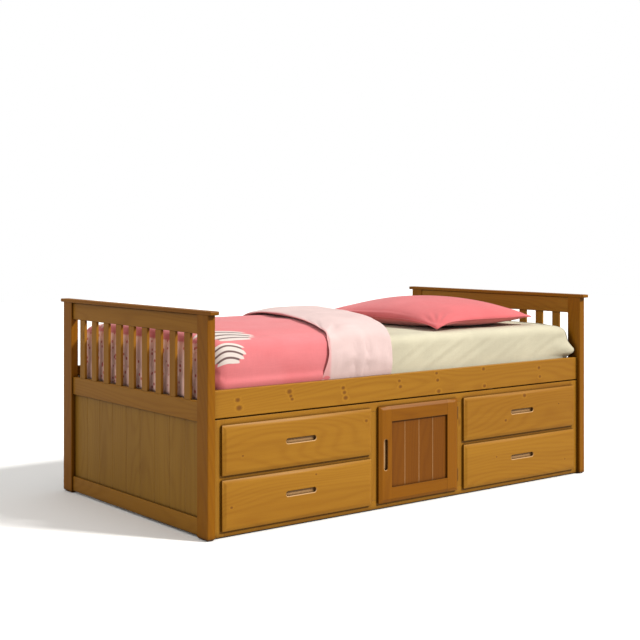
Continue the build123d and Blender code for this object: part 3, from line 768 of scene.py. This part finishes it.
def first_fit(name, words_of):
    """The key whose words have one that is in a node's name."""
    for key, words in words_of.items():
        if any(word in name for word in words):
            return key
    raise RuntimeError(f"nothing is given for {name}")


def grain_of(name):
    """The axis that a node's boards run along."""
    return first_fit(name, GRAIN_ALONG)


def tone_of(name):
    """Which of the stain's tones a visible piece of pine has."""
    return first_fit(name, {tone: row[0] for tone, row in TONES.items()})


def nodes_of_slot(slot):
    """The names of the CAD nodes whose packed material is this one of the record's slots."""
    return [n for n, o in NODES.items() if o.material_slots[0].material.name.startswith(slot)]


def dress(name, finish):
    """Give a CAD node its finish."""
    NODES[name].material_slots[0].material = finish


# Whorls of small knots along a side rail: the share of its length, then for each knot of the
# whorl the share of its height and the radius.
WHORLS = (
    (0.054, (0.60, 0.008), (0.31, 0.010)), (0.172, (0.72, 0.009), (0.55, 0.006), (0.43, 0.006)),
    (0.303, (0.66, 0.007), (0.48, 0.007), (0.27, 0.008)), (0.450, (0.72, 0.006), (0.48, 0.007)),
    (0.554, (0.88, 0.006), (0.59, 0.007), (0.13, 0.008)), (0.693, (0.87, 0.007), (0.15, 0.007)),
    (0.870, (0.69, 0.007), (0.30, 0.006)),
)
WHORL_STAGGER = 0.006
# The same on the drawer fronts: shares of the length and the height, and the radius.
FRONT_KNOTS = {
    "upper_foot_drawer_front": ((0.955, 0.76, 0.006), (0.12, 0.36, 0.004)),
    "lower_foot_drawer_front": ((0.05, 0.46, 0.005), (0.60, 0.86, 0.004)),
    "upper_head_drawer_front": ((0.35, 0.36, 0.006), (0.52, 0.90, 0.008), (0.84, 0.60, 0.004)),
    "lower_head_drawer_front": ((0.27, 0.62, 0.004), (0.90, 0.30, 0.004)),
}


PULL_HALF = 0.009
PULL_LENGTHS = {"drawer": 0.069, "door": 0.060}  # half of a pull's length
PULL_RISE = {"upper": 0.007, "lower": 0.009}  # how far a drawer's pull is above its middle
DOOR_PULL_ASIDE = 1 * MM
PULL_LIT_SHIFT = 1.5 * MM  # the bare rim is moved this far down on the drawers and to the left on the door, a painted highlight on the side of each pull that the light falls on


def pull_mask(centre_x, centre_z, half_long, back_y, upright=False, half_wide=PULL_HALF):
    """A function that is 1 in a round-ended finger pull and on its rim, where the wood is bare."""

    def mask(place):
        x, y, z = place
        along, across = (z - centre_z, x - centre_x) if upright else (x - centre_x, z - centre_z)
        beyond = (abs(along) - (half_long - half_wide)).at_least(0.0)
        distance = (beyond * beyond + across * across) ** 0.5
        depth = y.ramp(back_y, back_y - 2 * MM)
        return distance.ramp(half_wide + 2.0 * MM, half_wide + 0.8 * MM) * depth

    return mask


def lit_joint_lines(axis, places, half_width, strength):
    """A function that is strength on the thin lines where boards meet: a painted highlight."""

    def mask(place):
        lines = nearest(
            abs(place[axis] - middle).ramp(half_width * 1.3, half_width * 0.8)
            for middle in places
        )
        return lines * strength

    return mask


# Boards in a frame: the axis across them, how many there are, how far the frame laps onto
# them, the half width and strength of the pale joint lines, a painted highlight where the
# grooves catch the light, and how many stray knots there are.
BOARDS = {
    "door_boards": (0, 4, 6 * MM, 1.5 * MM, 0.75, 0.0),
    "foot_panel_boards": (1, 9, 8 * MM, 1.2 * MM, 0.25, 0.25),
    "head_panel_boards": (1, 9, 8 * MM, 1.2 * MM, 0.25, 0.25),
}


class BED_OT_timber(Operator):
    """Stain and lacquer the pine, and give the unseen timber its bare finish"""

    bl_idname = "bed.timber"
    bl_label = "Timber"

    def execute(self, context):
        settings = context.scene.bed_timber
        stain = {
            tone: [getattr(settings, tone + "_light"), getattr(settings, tone + "_dark"),
                   settings.stain_knot, settings.bare_and_groove_highlight]
            for tone in TONES
        }
        bare = [settings.bare_light, settings.bare_dark, settings.bare_knot, settings.bare_light]
        raw = {axis: unfinished(f"bare_pine_along_{axis.lower()}", axis, bare) for axis in "XYZ"}
        made = {}
        for name in nodes_of_slot("pine_stained"):
            kind = tone, grain = tone_of(name), grain_of(name)
            if kind not in made:
                made[kind] = lacquered(f"pine_{tone}_{grain.lower()}", grain, stain[tone])
            dress(name, made[kind])
        for name in nodes_of_slot("pine_bare"):
            dress(name, raw[grain_of(name)])
        for name in nodes_of_slot("plywood"):
            thin = {"chest_back": 1, "chest_end_panels": 0, "chest_dividers": 0}.get(name, 2)
            face, core = settings.ply_face, settings.ply_core
            dress(name, plywood(f"ply_{name}", face, core, grain_of(name), thin))
        self.finish_rails(stain["fronts"])
        self.finish_fronts(stain["fronts"], stain["door"])
        self.finish_boards(stain)
        for node in NODES.values():
            if node.material_slots[0].material.name.startswith(("pine", "bare", "ply")):
                self.soften_edges(node, settings.bevel)
        return {"FINISHED"}

    def finish_rails(self, stain):
        for name in ("side_rail_front", "side_rail_back"):
            low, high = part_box(name)
            size = high - low
            knots = [
                (low.x + size.x * share + WHORL_STAGGER * i, low.z + size.z * height, radius)
                for share, *whorl in WHORLS for i, (height, radius) in enumerate(whorl)
            ]
            dress(name, lacquered(f"pine_{name}", "X", stain, knots=knots, stray=0.0))

    def finish_fronts(self, stain, door_stain):
        for name, shares in FRONT_KNOTS.items():
            low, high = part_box(name)
            size, middle = high - low, (low + high) / 2
            knots = [(low.x + size.x * a, low.z + size.z * b, r) for a, b, r in shares]
            # The bare rim is moved down, a painted highlight on the lower lip that the light falls
            # on.
            up = middle.z + PULL_RISE[name[:5]] - PULL_LIT_SHIFT
            mask = pull_mask(middle.x, up, PULL_LENGTHS["drawer"], high.y)
            finish = lacquered(
                f"pine_{name}", "X", stain, knots=knots, stray=0.0, figure=0.9, bare_mask=mask
            )
            dress(name, finish)
        name = "door_handle_stile"
        low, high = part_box(name)
        # The bare rim is moved left, a painted highlight on the side that the light falls on.
        across, up = (low.x + high.x) / 2 + DOOR_PULL_ASIDE - PULL_LIT_SHIFT, (low.z + high.z) / 2
        mask = pull_mask(across, up, PULL_LENGTHS["door"], high.y, upright=True)
        dress(name, lacquered(f"pine_{name}", "Z", door_stain, stray=0.15, bare_mask=mask))

    def finish_boards(self, stain):
        for name, (axis, count, lap, half_width, strength, stray) in BOARDS.items():
            low, high = (corner[axis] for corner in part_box(name))
            step = (high - low - 2 * lap) / count
            joints = [low + lap + step * i for i in range(1, count)]
            # Painted highlight: pale lines where the grooves between the boards catch the light.
            lines = lit_joint_lines(axis, joints, half_width, strength)
            tone = stain[tone_of(name)]
            dress(name, lacquered(f"pine_{name}", "Z", tone, stray=stray, lines=lines))

    def soften_edges(self, node, width):
        welded = node.modifiers.new("welded", "WELD")
        welded.merge_threshold = 0.02 * MM
        bevel = node.modifiers.new("softened", "BEVEL")
        bevel.width = width
        bevel.segments = 2
        bevel.limit_method = "ANGLE"
        bevel.angle_limit = math.radians(40)
        bevel.use_clamp_overlap = True
        node.modifiers.new("even", "WEIGHTED_NORMAL")


class BED_OT_fittings(Operator):
    """Plate the steel fittings and mould the catch"""

    bl_idname = "bed.fittings"
    bl_label = "Fittings"

    def execute(self, context):
        settings = context.scene.bed_timber
        finishes = {
            "steel_fittings": plated_steel("zinc_plate", settings.steel),
            "bronzed_hinges": plated_steel("bronze_lacquer", settings.bronze, dull=0.15),
            "catch_plastic": moulded_plastic("catch_body", settings.plastic),
        }
        for slot, finish in finishes.items():
            for name in nodes_of_slot(slot):
                dress(name, finish)
        return {"FINISHED"}


# ---- Mattress and fitted sheet ---------------------------------------------------------------
MATTRESS_EDGE = Edge([(0, 0), (0.035, 0.003), (0.052, 0.016), (0.056, 0.040), (0.058, 0.090),
                      (0.056, 0.150), (0.052, 0.176), (0.035, 0.188)])
SHEET_EDGE = Edge([(0, 0), (0.022, 0.003), (0.040, 0.012), (0.049, 0.030), (0.050, 0.060),
                   (0.050, 0.100), (0.050, 0.150), (0.049, 0.180), (0.040, 0.1955), (0.0, 0.1965)])
TUFTS = 0.11  # from one tuft of the quilting to the next
SHEET_THICK = 0.8 * MM
EAR_Z = 0.552  # height of the slack corners at the head, just above the side rails


class BED_OT_mattress(Operator):
    """Make the mattress and stretch the fitted sheet over it"""

    bl_idname = "bed.mattress"
    bl_label = "Mattress and sheet"

    def execute(self, context):
        settings = context.scene.bed_bedding
        low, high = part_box("mattress")
        self.make_mattress(settings, low, high)
        self.make_sheet(settings, low, high)
        return {"FINISHED"}

    def make_mattress(self, settings, low, high):
        """A quilted top with rounded edges, over a flat underside."""
        gap = 4 * MM  # room for the sheet
        inset = MATTRESS_EDGE.reach + gap
        outer, fallen, top_faces, flat_x, flat_y = covering(
            low, high, inset, 0.20, 0.020, high.z - gap, MATTRESS_EDGE
        )
        quilt = np.abs(np.sin(flat_x * math.pi / TUFTS) * np.sin(flat_y * math.pi / TUFTS))
        outer[:, 2] += (quilt**0.5 - 0.5) * 3 * MM * (1 - rise(fallen, 0, 0.2)) - 2 * MM
        under = outer.copy()
        for i in (0, 1):
            under[:, i] = np.clip(outer[:, i], low[i] + inset - 0.03, high[i] - inset + 0.03)
        under[:, 2] = low.z + 5 * MM
        faces = closed_faces(top_faces, len(outer))
        points, faces, _ = without_loose(np.vstack([outer, under]), faces)
        finish = woven("mattress_ticking", settings.ticking, thread=1.4 * MM)
        mattress = new_object("mattress_body", points, faces, finish)
        subdivide(mattress)
        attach(mattress, "root")
        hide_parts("mattress")

    def make_sheet(self, settings, low, high):
        """A fitted sheet: tight on top, creased at the sides and tucked under."""
        points, fallen, faces, flat_x, flat_y = covering(
            low, high, SHEET_EDGE.reach, 0.27, 0.010, high.z, SHEET_EDGE
        )
        points = self.crease(points, flat_y, fallen, low, high)
        points, faces, _ = without_loose(points, faces)
        finish = woven("sheet_cotton", settings.sheet, slub=0.22, sheen=0.15)
        sheet = new_object("fitted_sheet", points, faces, finish)
        thick = sheet.modifiers.new("thickness", "SOLIDIFY")
        thick.thickness = SHEET_THICK
        thick.offset = 1.0
        subdivide(sheet)
        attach(sheet, "root")

    def crease(self, points, flat_y, fallen, low, high):
        """Slanting creases on the long sides, and slack corners that flare over the rails."""
        x, y, z = points.T
        front = rise(-flat_y, -low.y - 0.05, -low.y) + rise(flat_y, high.y - 0.05, high.y)
        side = np.sign(y)
        height = (z - low.z) / (high.z - low.z)
        turn = (x - z * 1.9) * 2 * math.pi
        pulls = np.sin(turn / 0.118 + 0.9 * np.sin(x * 9)) * 0.5
        pulls += np.sin(turn / 0.071 + 1.7 * np.sin(x * 5 + 1)) * 0.35
        where = bell(height, 0.62, 0.30) * (0.45 + 0.55 * np.sin(x * 4.1 + 0.6) ** 2)
        y = y + side * front * pulls * where * 3.0 * MM
        slack = fine_noise(points, 0.16, 5) * 1.6 * MM
        z = z + slack * (1 - rise(fallen, 0.0, 0.25)) - 1.2 * MM
        for lean, corner_y in ((-1, low.y), (1, high.y)):
            near = np.hypot(x - high.x, y - corner_y)
            slack_corner = bell(near, 0, 0.090) * 0.014
            ear = bell(z, EAR_Z, 0.034) * bell(near, 0, 0.075) * rise(z, 0.522, 0.530)
            z = z - bell(near, 0, 0.085) * 0.014 * (1 - rise(fallen, 0.2, 0.6))
            x = x + (slack_corner + ear * 0.012) * (height > 0.2)
            x = np.minimum(x, high.x + 0.015)
            y = y + lean * (slack_corner + ear * 0.036) * (height > 0.2)
        return np.stack([x, y, z], axis=1)


# ---- Duvet -----------------------------------------------------------------------------------
# Both skins of the duvet run over the mattress's edge, the outer one puffed over the side rail
# and both nipped between the mattress and the rail. Points are (outward, down) in metres.
OUTER_EDGE = Edge([(0, 0), (0.030, 0.0035), (0.056, 0.014), (0.073, 0.036), (0.082, 0.070),
                   (0.0855, 0.110), (0.083, 0.155), (0.0770, 0.190), (0.0725, 0.204),
                   (0.0690, 0.218), (0.0660, 0.234)])
INNER_EDGE = Edge([(0, 0), (0.030, 0.0005), (0.050, 0.004), (0.0585, 0.018), (0.0590, 0.060),
                   (0.0590, 0.110), (0.0590, 0.150), (0.0590, 0.1700), (0.0590, 0.1795)])
EDGE_INSET = 0.0575  # from the mattress's side to where a cover starts to fall
FOOT_INSET = 0.0735  # the same from the duvet's own foot
FOOT_HANG = 0.0685  # how far past there the foot hangs, clear of the sheet
FLAT_END = 0.295  # how far past there the duvet reaches when it is flat
BORDER_TOP = (0.676, 0.668)  # the heights between which the border at the foot begins
# The printed ovals: their middles, from where the foot falls and across plus up, so that they
# run on down the side, and their half widths in those two directions.
OVALS = ((0.060, 0.292, 0.108, 0.088), (0.006, 0.140, 0.070, 0.048),
         (0.060, 0.640, 0.095, 0.060), (0.045, 1.020, 0.090, 0.060))


class BED_OT_duvet(Operator):
    """Make the duvet, tucked in at the sides and turned back near the middle of the bed"""

    bl_idname = "bed.duvet"
    bl_label = "Duvet"

    def execute(self, context):
        self.settings = context.scene.bed_bedding
        low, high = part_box("mattress")
        self.top = high.z + SHEET_THICK
        self.y_range = (low.y + EDGE_INSET, high.y - EDGE_INSET)
        self.x_range = (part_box("duvet")[0].x + FOOT_INSET, high.x)
        body = self.lower_layer()
        turned = self.turned_back()
        for piece in (body, turned):
            subdivide(piece)
            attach(piece, "root")
        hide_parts("duvet")
        return {"FINISHED"}

    def skins(self, flat_x, flat_y):
        """The inner and outer skins over flat points, and the share fallen."""
        across = (np.abs(flat_y) / self.y_range[1]).clip(0, 1)
        crown = 7 * MM - 27 * MM * across**3.2
        over = (flat_x, flat_y, FLAT_END, self.x_range, self.y_range)
        inner, fallen = laid_over(*over, self.top, INNER_EDGE)
        high = self.top + self.settings.duvet_loft
        outer, _ = laid_over(*over, high, OUTER_EDGE, foot_share=0.86)
        inner[..., 0] = np.maximum(inner[..., 0], self.x_range[0] - 0.0135)
        outer[..., 2] += crown * (1 - rise(fallen, 0.1, 0.75))
        at_foot = rise(self.x_range[0] - flat_x, 0.0, 0.06) * rise(fallen, 0.30, 0.50)
        at_foot *= 1 - rise(np.abs(flat_y), self.y_range[1], self.y_range[1] + 0.08)
        outer[..., 0] -= at_foot * np.maximum(outer[..., 0] - self.x_range[0] + FOOT_HANG, 0)
        outer[..., 2] -= at_foot * rise(fallen, 0.80, 1.0) * 16 * MM
        return inner, outer, fallen

    def lean(self, flat_y):
        """How far the fold has moved along the bed at a place across it."""
        return self.settings.fold_skew * np.clip(flat_y, -0.5, 0.5)

    def across_bed(self, step):
        """Even places across the bed, from one end of the flat duvet to the other."""
        end = self.y_range[1] + FLAT_END
        return np.linspace(-end, end, int(2 * end / step) | 1)

    def lower_layer(self):
        """The part that lies face up, from the foot to a little short of the fold."""
        settings = self.settings
        step = 0.014
        end = settings.fold_x - 0.055
        x = np.arange(self.x_range[0] - FLAT_END, end + step / 2, step)
        y = self.across_bed(step)
        flat_x, flat_y = flat_grid(x, y)
        towards_fold = rise(flat_x, self.x_range[0], end)
        flat_x = flat_x + self.lean(flat_y) * towards_fold
        inner, outer, fallen = self.skins(flat_x, flat_y)
        wave = fine_noise(outer, 0.34, 3) * 3.0 * MM + fine_noise(outer, 0.15, 8) * 0.9 * MM
        outer[:, 2] += wave * (1 - rise(fallen, 0.35, 0.8))
        outer[:, 1] += np.sign(flat_y) * wave * bell(fallen, 0.55, 0.22)
        free_edge = settings.fold_x - settings.turned_width
        covered = rise(flat_x - self.lean(flat_y), free_edge + 0.015, free_edge + 0.06)
        outer += (inner - outer) * (0.48 * covered * rise(fallen, 0.25, 0.60))[:, None]
        faces = closed_faces(grid_faces(len(x), len(y), fallen < FALLEN), len(outer))
        points, faces, used = without_loose(np.vstack([outer, inner]), faces)
        held = np.concatenate([rise(fallen, 0.72, 0.86), np.ones(len(inner))])[used]
        finish = woven("duvet_cotton", settings.cover, tint=settings.cover_deep, marks=self.printed)
        body = new_object("duvet_body", points, faces, finish)
        puff(body, held.round(2), pressure=3.0, frames=14, most=9 * MM)
        return body

    def printed(self, finish, place, cloth):
        """Pale striped ovals near the foot, and a pale border with small marks at the foot."""
        settings = self.settings
        x, y, z = place
        pale, stripe = rgba(settings.print_pale), rgba(settings.print_dark)
        low_x = self.x_range[0]
        for centre_x, centre_s, half_x, half_s in OVALS:
            u = (x - (low_x + centre_x)) * (1 / half_x)
            v = (y + z - centre_s) * (1 / half_s)
            radius = (u * u + v * v) ** 0.5
            wave = ((v + u * u * 0.55) * 11.0).sine()
            inside = (radius + wave * 0.10).ramp(1.02, 0.96)
            shape = finish.mix(wave.ramp(0.30, 0.72) * 0.9, pale, stripe)
            cloth = finish.mix(inside, cloth, shape)
        border = x.ramp(low_x - 0.050, low_x - 0.062) * z.ramp(*BORDER_TOP)
        spots = finish.cells(finish.joined(0.0, y * 42.0, z * 40.0), 1.0).ramp(0.30, 0.20)
        bordered = finish.mix(spots * 0.85, rgba(settings.border), rgba(settings.border_mark))
        return finish.mix(border, cloth, bordered)

    def turned_back(self):
        """The turned-back part: a thick layer over the lower one, rolled down at the fold."""
        settings = self.settings
        outline = self.hook_outline()
        y = self.across_bed(0.0125)
        along, level = (np.repeat(column[:, None], len(y), 1).ravel() for column in outline.T)
        flat_y = np.tile(y, len(outline))
        far_y = np.abs(flat_y)
        fold = settings.fold_x + self.lean(flat_y)
        share = (-along / settings.turned_width).clip(0, 1)
        fallen = ((far_y - self.y_range[1]) / FLAT_END).clip(0, 1)
        ease = share * rise(fallen, 0.45, 0.95)
        flat_x = fold + along - ease * 0.030
        inner, outer, _ = self.skins(flat_x, flat_y)
        upright = np.cos(rise(fallen, 0.02, 0.42) * math.pi / 2)
        outward = np.sign(flat_y) * np.sqrt(1 - upright**2)
        away = np.stack([np.zeros_like(upright), outward, upright], 1)
        extra = settings.turned_loft * (1 - 0.62 * rise(fallen, 0.05, 0.45))
        extra *= (1 - 0.75 * rise(share, 0.60, 1.0)) * (1 - 0.85 * rise(fallen, 0.60, 0.80))
        over = np.maximum(level - 1, 0)
        points = inner + (outer - inner) * np.minimum(level, 1)[:, None]
        points += away * (extra * over)[:, None]
        shown = (over > 0.35) * (1 - rise(fallen, 0.78, 0.92))
        crown = 2 * MM * np.sin(share * math.pi) ** 0.7 * (1 - rise(far_y, 0.2, 0.5))
        folds = bell(share, 0.36, 0.032) * 0.9 + bell(share, 0.56, 0.028) * 0.7
        folds -= bell(share, 0.45, 0.045) * 0.8
        folds *= rise(fallen, 0.18, 0.52) * 7.5 * MM
        gathers = np.sin(along * 2 * math.pi / 0.047 + flat_y * 9) * bell(fallen, 0.62, 0.13)
        folds += gathers * 1.6 * MM
        wave = fine_noise(points, 0.30, 11) * 1.4 * MM + fine_noise(points, 0.11, 12) * 0.7 * MM
        points += away * (shown * (crown - folds + wave))[:, None]
        count = len(y)
        starts = [row * count for row in range(len(outline))]
        faces = [
            [a + j, b + j, b + j + 1, a + j + 1]
            for a, b in zip(starts, starts[1:] + starts[:1]) for j in range(count - 1)
        ]
        faces += [starts[::-1], [start + count - 1 for start in starts]]
        hidden = (level < 1.05) & (along < -0.02)
        held = np.where(hidden, 1.0, rise(fallen, 0.60, 0.80))
        finish = woven("duvet_lining", settings.lining, slub=0.2, marks=self.rolled_seam, sheen=0.2)
        turned = new_object("duvet_turned_back", points, faces, finish)
        puff(turned, held.round(2), pressure=2.5, frames=14, most=7 * MM)
        return turned

    def hook_outline(self):
        """The turned-back part's section: (from the fold, level) points round a closed loop.

        Level 0 lies on the mattress, 1 on the lower layer and 2 is the turned-back part's top.
        """
        width = self.settings.turned_width
        round_edge, fold = ([math.pi * i / (n - 1) for i in range(n)] for n in (9, 15))
        points = [
            (-width + 0.012 - 0.012 * math.sin(turn), 1.52 - 0.50 * math.cos(turn))
            for turn in round_edge
        ]
        points += [(along, 2.0) for along in np.linspace(-width + 0.020, -0.030, 22)]
        points += [(0.034 * math.sin(turn) - 0.012, 1.0 + math.cos(turn)) for turn in fold]
        points += [(-0.04, 0.0), (-0.07, 0.0), (-0.075, 0.5), (-0.07, 0.98)]
        points += [(along, 1.0) for along in np.linspace(-0.09, -width + 0.030, 16)]
        return np.array(points)

    def rolled_seam(self, finish, place, cloth):
        """The pink cover shows through beside the free edge's seam."""
        settings = self.settings
        x, y, _ = place
        edge = settings.fold_x - settings.turned_width
        near = (x - y * settings.fold_skew - edge).ramp(0.020, 0.004)
        return finish.mix(near * 0.55, cloth, rgba(settings.cover))


# ---- Pillow ----------------------------------------------------------------------------------
SEAM_HEIGHT = 0.038  # of the pillow's seam, above the mattress


class BED_OT_pillow(Operator):
    """Sew two pieces of cloth together, fill them and lay the pillow on the mattress"""

    bl_idname = "bed.pillow"
    bl_label = "Pillow"

    def execute(self, context):
        settings = context.scene.bed_bedding
        low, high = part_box("pillow")
        rows, columns = 76, 88
        a, b = flat_grid(np.linspace(-1, 1, rows), np.linspace(-1, 1, columns))
        rim = (np.abs(a) > 0.9999) | (np.abs(b) > 0.9999)
        faces = grid_faces(rows, columns)
        number = np.where(rim, np.arange(len(a)), np.arange(len(a)) + len(a))
        lower = [[int(number[c]) for c in reversed(face)] for face in faces]
        both = np.vstack([self.filled(a, b, low, high, up) for up in (True, False)])
        points, all_faces, used = without_loose(both, faces + lower)
        finish = woven("pillowcase_cotton", settings.pillow, slub=0.3)
        pillow = new_object("pillow_body", points, all_faces, finish)
        on_rim = np.concatenate([rim, np.zeros(len(a), bool)])[np.array(used)]
        puff(pillow, np.where(on_rim, 0.8, 0.0), pressure=2.5, frames=16, most=7 * MM, mass=0.25,
             stiffness=20.0, bending=0.2)
        self.rest(pillow, low)
        piping = self.add_piping(pillow, np.nonzero(on_rim)[0], settings)
        subdivide(pillow)
        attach(pillow, "root")
        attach(piping, "root")
        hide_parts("pillow")
        return {"FINISHED"}

    def filled(self, a, b, low, high, up):
        """One face of a well-filled pillow over a square of shares a and b, from -1 to 1."""
        middle, half = (low + high) / 2, (high - low) / 2
        blunt = 1 - (0.035 + 0.035 * (a > 0)) * np.abs(a * b) ** 8
        x = middle.x + half.x * a * (1 - 0.075 * (1 - b**2) * np.abs(a) ** 3) * blunt
        y = middle.y + half.y * b * (1 - 0.060 * (1 - a**2) * np.abs(b) ** 3) * blunt
        droop = np.where(b < 0, np.where(a < 0, 0.030, 0.004), np.where(a < 0, -0.014, 0.010))
        seam = low.z + SEAM_HEIGHT - droop * (np.abs(a * b)) ** 4
        plump = ((1 - a**2).clip(0) * (1 - b**2).clip(0)) ** 0.52
        in_x, in_y = (1 - np.abs(a)) * half.x, (1 - np.abs(b)) * half.y
        pleats = np.sin(np.arctan2(in_x, in_y) * 17.0) * bell(np.hypot(in_x, in_y), 0.085, 0.050)
        pleats *= 2.6 * MM
        pleats += fine_noise(np.stack([x, y, 0 * x], 1), 0.20, 21 if up else 22) * 1.5 * MM * plump
        swell = high.z - low.z - SEAM_HEIGHT if up else -0.062
        return np.stack([x, y, seam + swell * plump + pleats], 1)

    def rest(self, pillow, low):
        """Flatten the pillow's underside on the mattress."""
        points = points_of(pillow)
        soft = 8 * MM
        over = points[:, 2] - low.z - soft
        points[:, 2] = np.where(over < 0, low.z + soft * np.exp(over / soft), points[:, 2])
        set_points(pillow, points)

    def add_piping(self, pillow, rim, settings):
        """A thin cord of cloth sewn into the seam."""
        points = points_of(pillow)[rim]
        centre = points.mean(0)
        order = np.argsort(np.arctan2(points[:, 1] - centre[1], points[:, 0] - centre[0]))
        curve = bpy.data.curves.new("pillow_piping", "CURVE")
        curve.dimensions = "3D"
        spline = curve.splines.new("POLY")
        spline.points.add(len(order) - 1)
        for point, place in zip(spline.points, points[order]):
            point.co = (*place, 1)
        spline.use_cyclic_u = True
        curve.bevel_depth = 1.8 * MM
        curve.bevel_resolution = 2
        piping = add_object("pillow_piping", curve)
        curve.materials.append(woven("pillow_piping_cotton", settings.piping, thread=0.6 * MM))
        return piping


# ---- Panel and registration ------------------------------------------------------------------
class BED_PT_panel(Panel):
    """The bed's pieces and settings"""

    bl_idname = "BED_PT_panel"
    bl_label = "Captain's bed"
    bl_space_type = "VIEW_3D"
    bl_region_type = "UI"
    bl_category = "Bed"

    def draw(self, context):
        for operator in OPERATORS:
            self.layout.operator(operator.bl_idname)


OPERATORS = (
    BED_OT_stage, BED_OT_timber, BED_OT_fittings, BED_OT_mattress, BED_OT_duvet, BED_OT_pillow,
)
GROUPS = {"bed_stage": StageSettings, "bed_timber": TimberSettings, "bed_bedding": BeddingSettings}
CLASSES = (*GROUPS.values(), *OPERATORS, BED_PT_panel)


def register():
    for made in CLASSES:
        bpy.utils.register_class(made)
    for name, group in GROUPS.items():
        setattr(bpy.types.Scene, name, PointerProperty(type=group))


def unregister():
    for name in GROUPS:
        delattr(bpy.types.Scene, name)
    for made in reversed(CLASSES):
        bpy.utils.unregister_class(made)


def main():
    register()
    bpy.ops.bed.stage()
    bpy.ops.bed.timber()
    bpy.ops.bed.fittings()
    bpy.ops.bed.mattress()
    bpy.ops.bed.duvet()
    bpy.ops.bed.pillow()


if __name__ == "__main__":
    main()
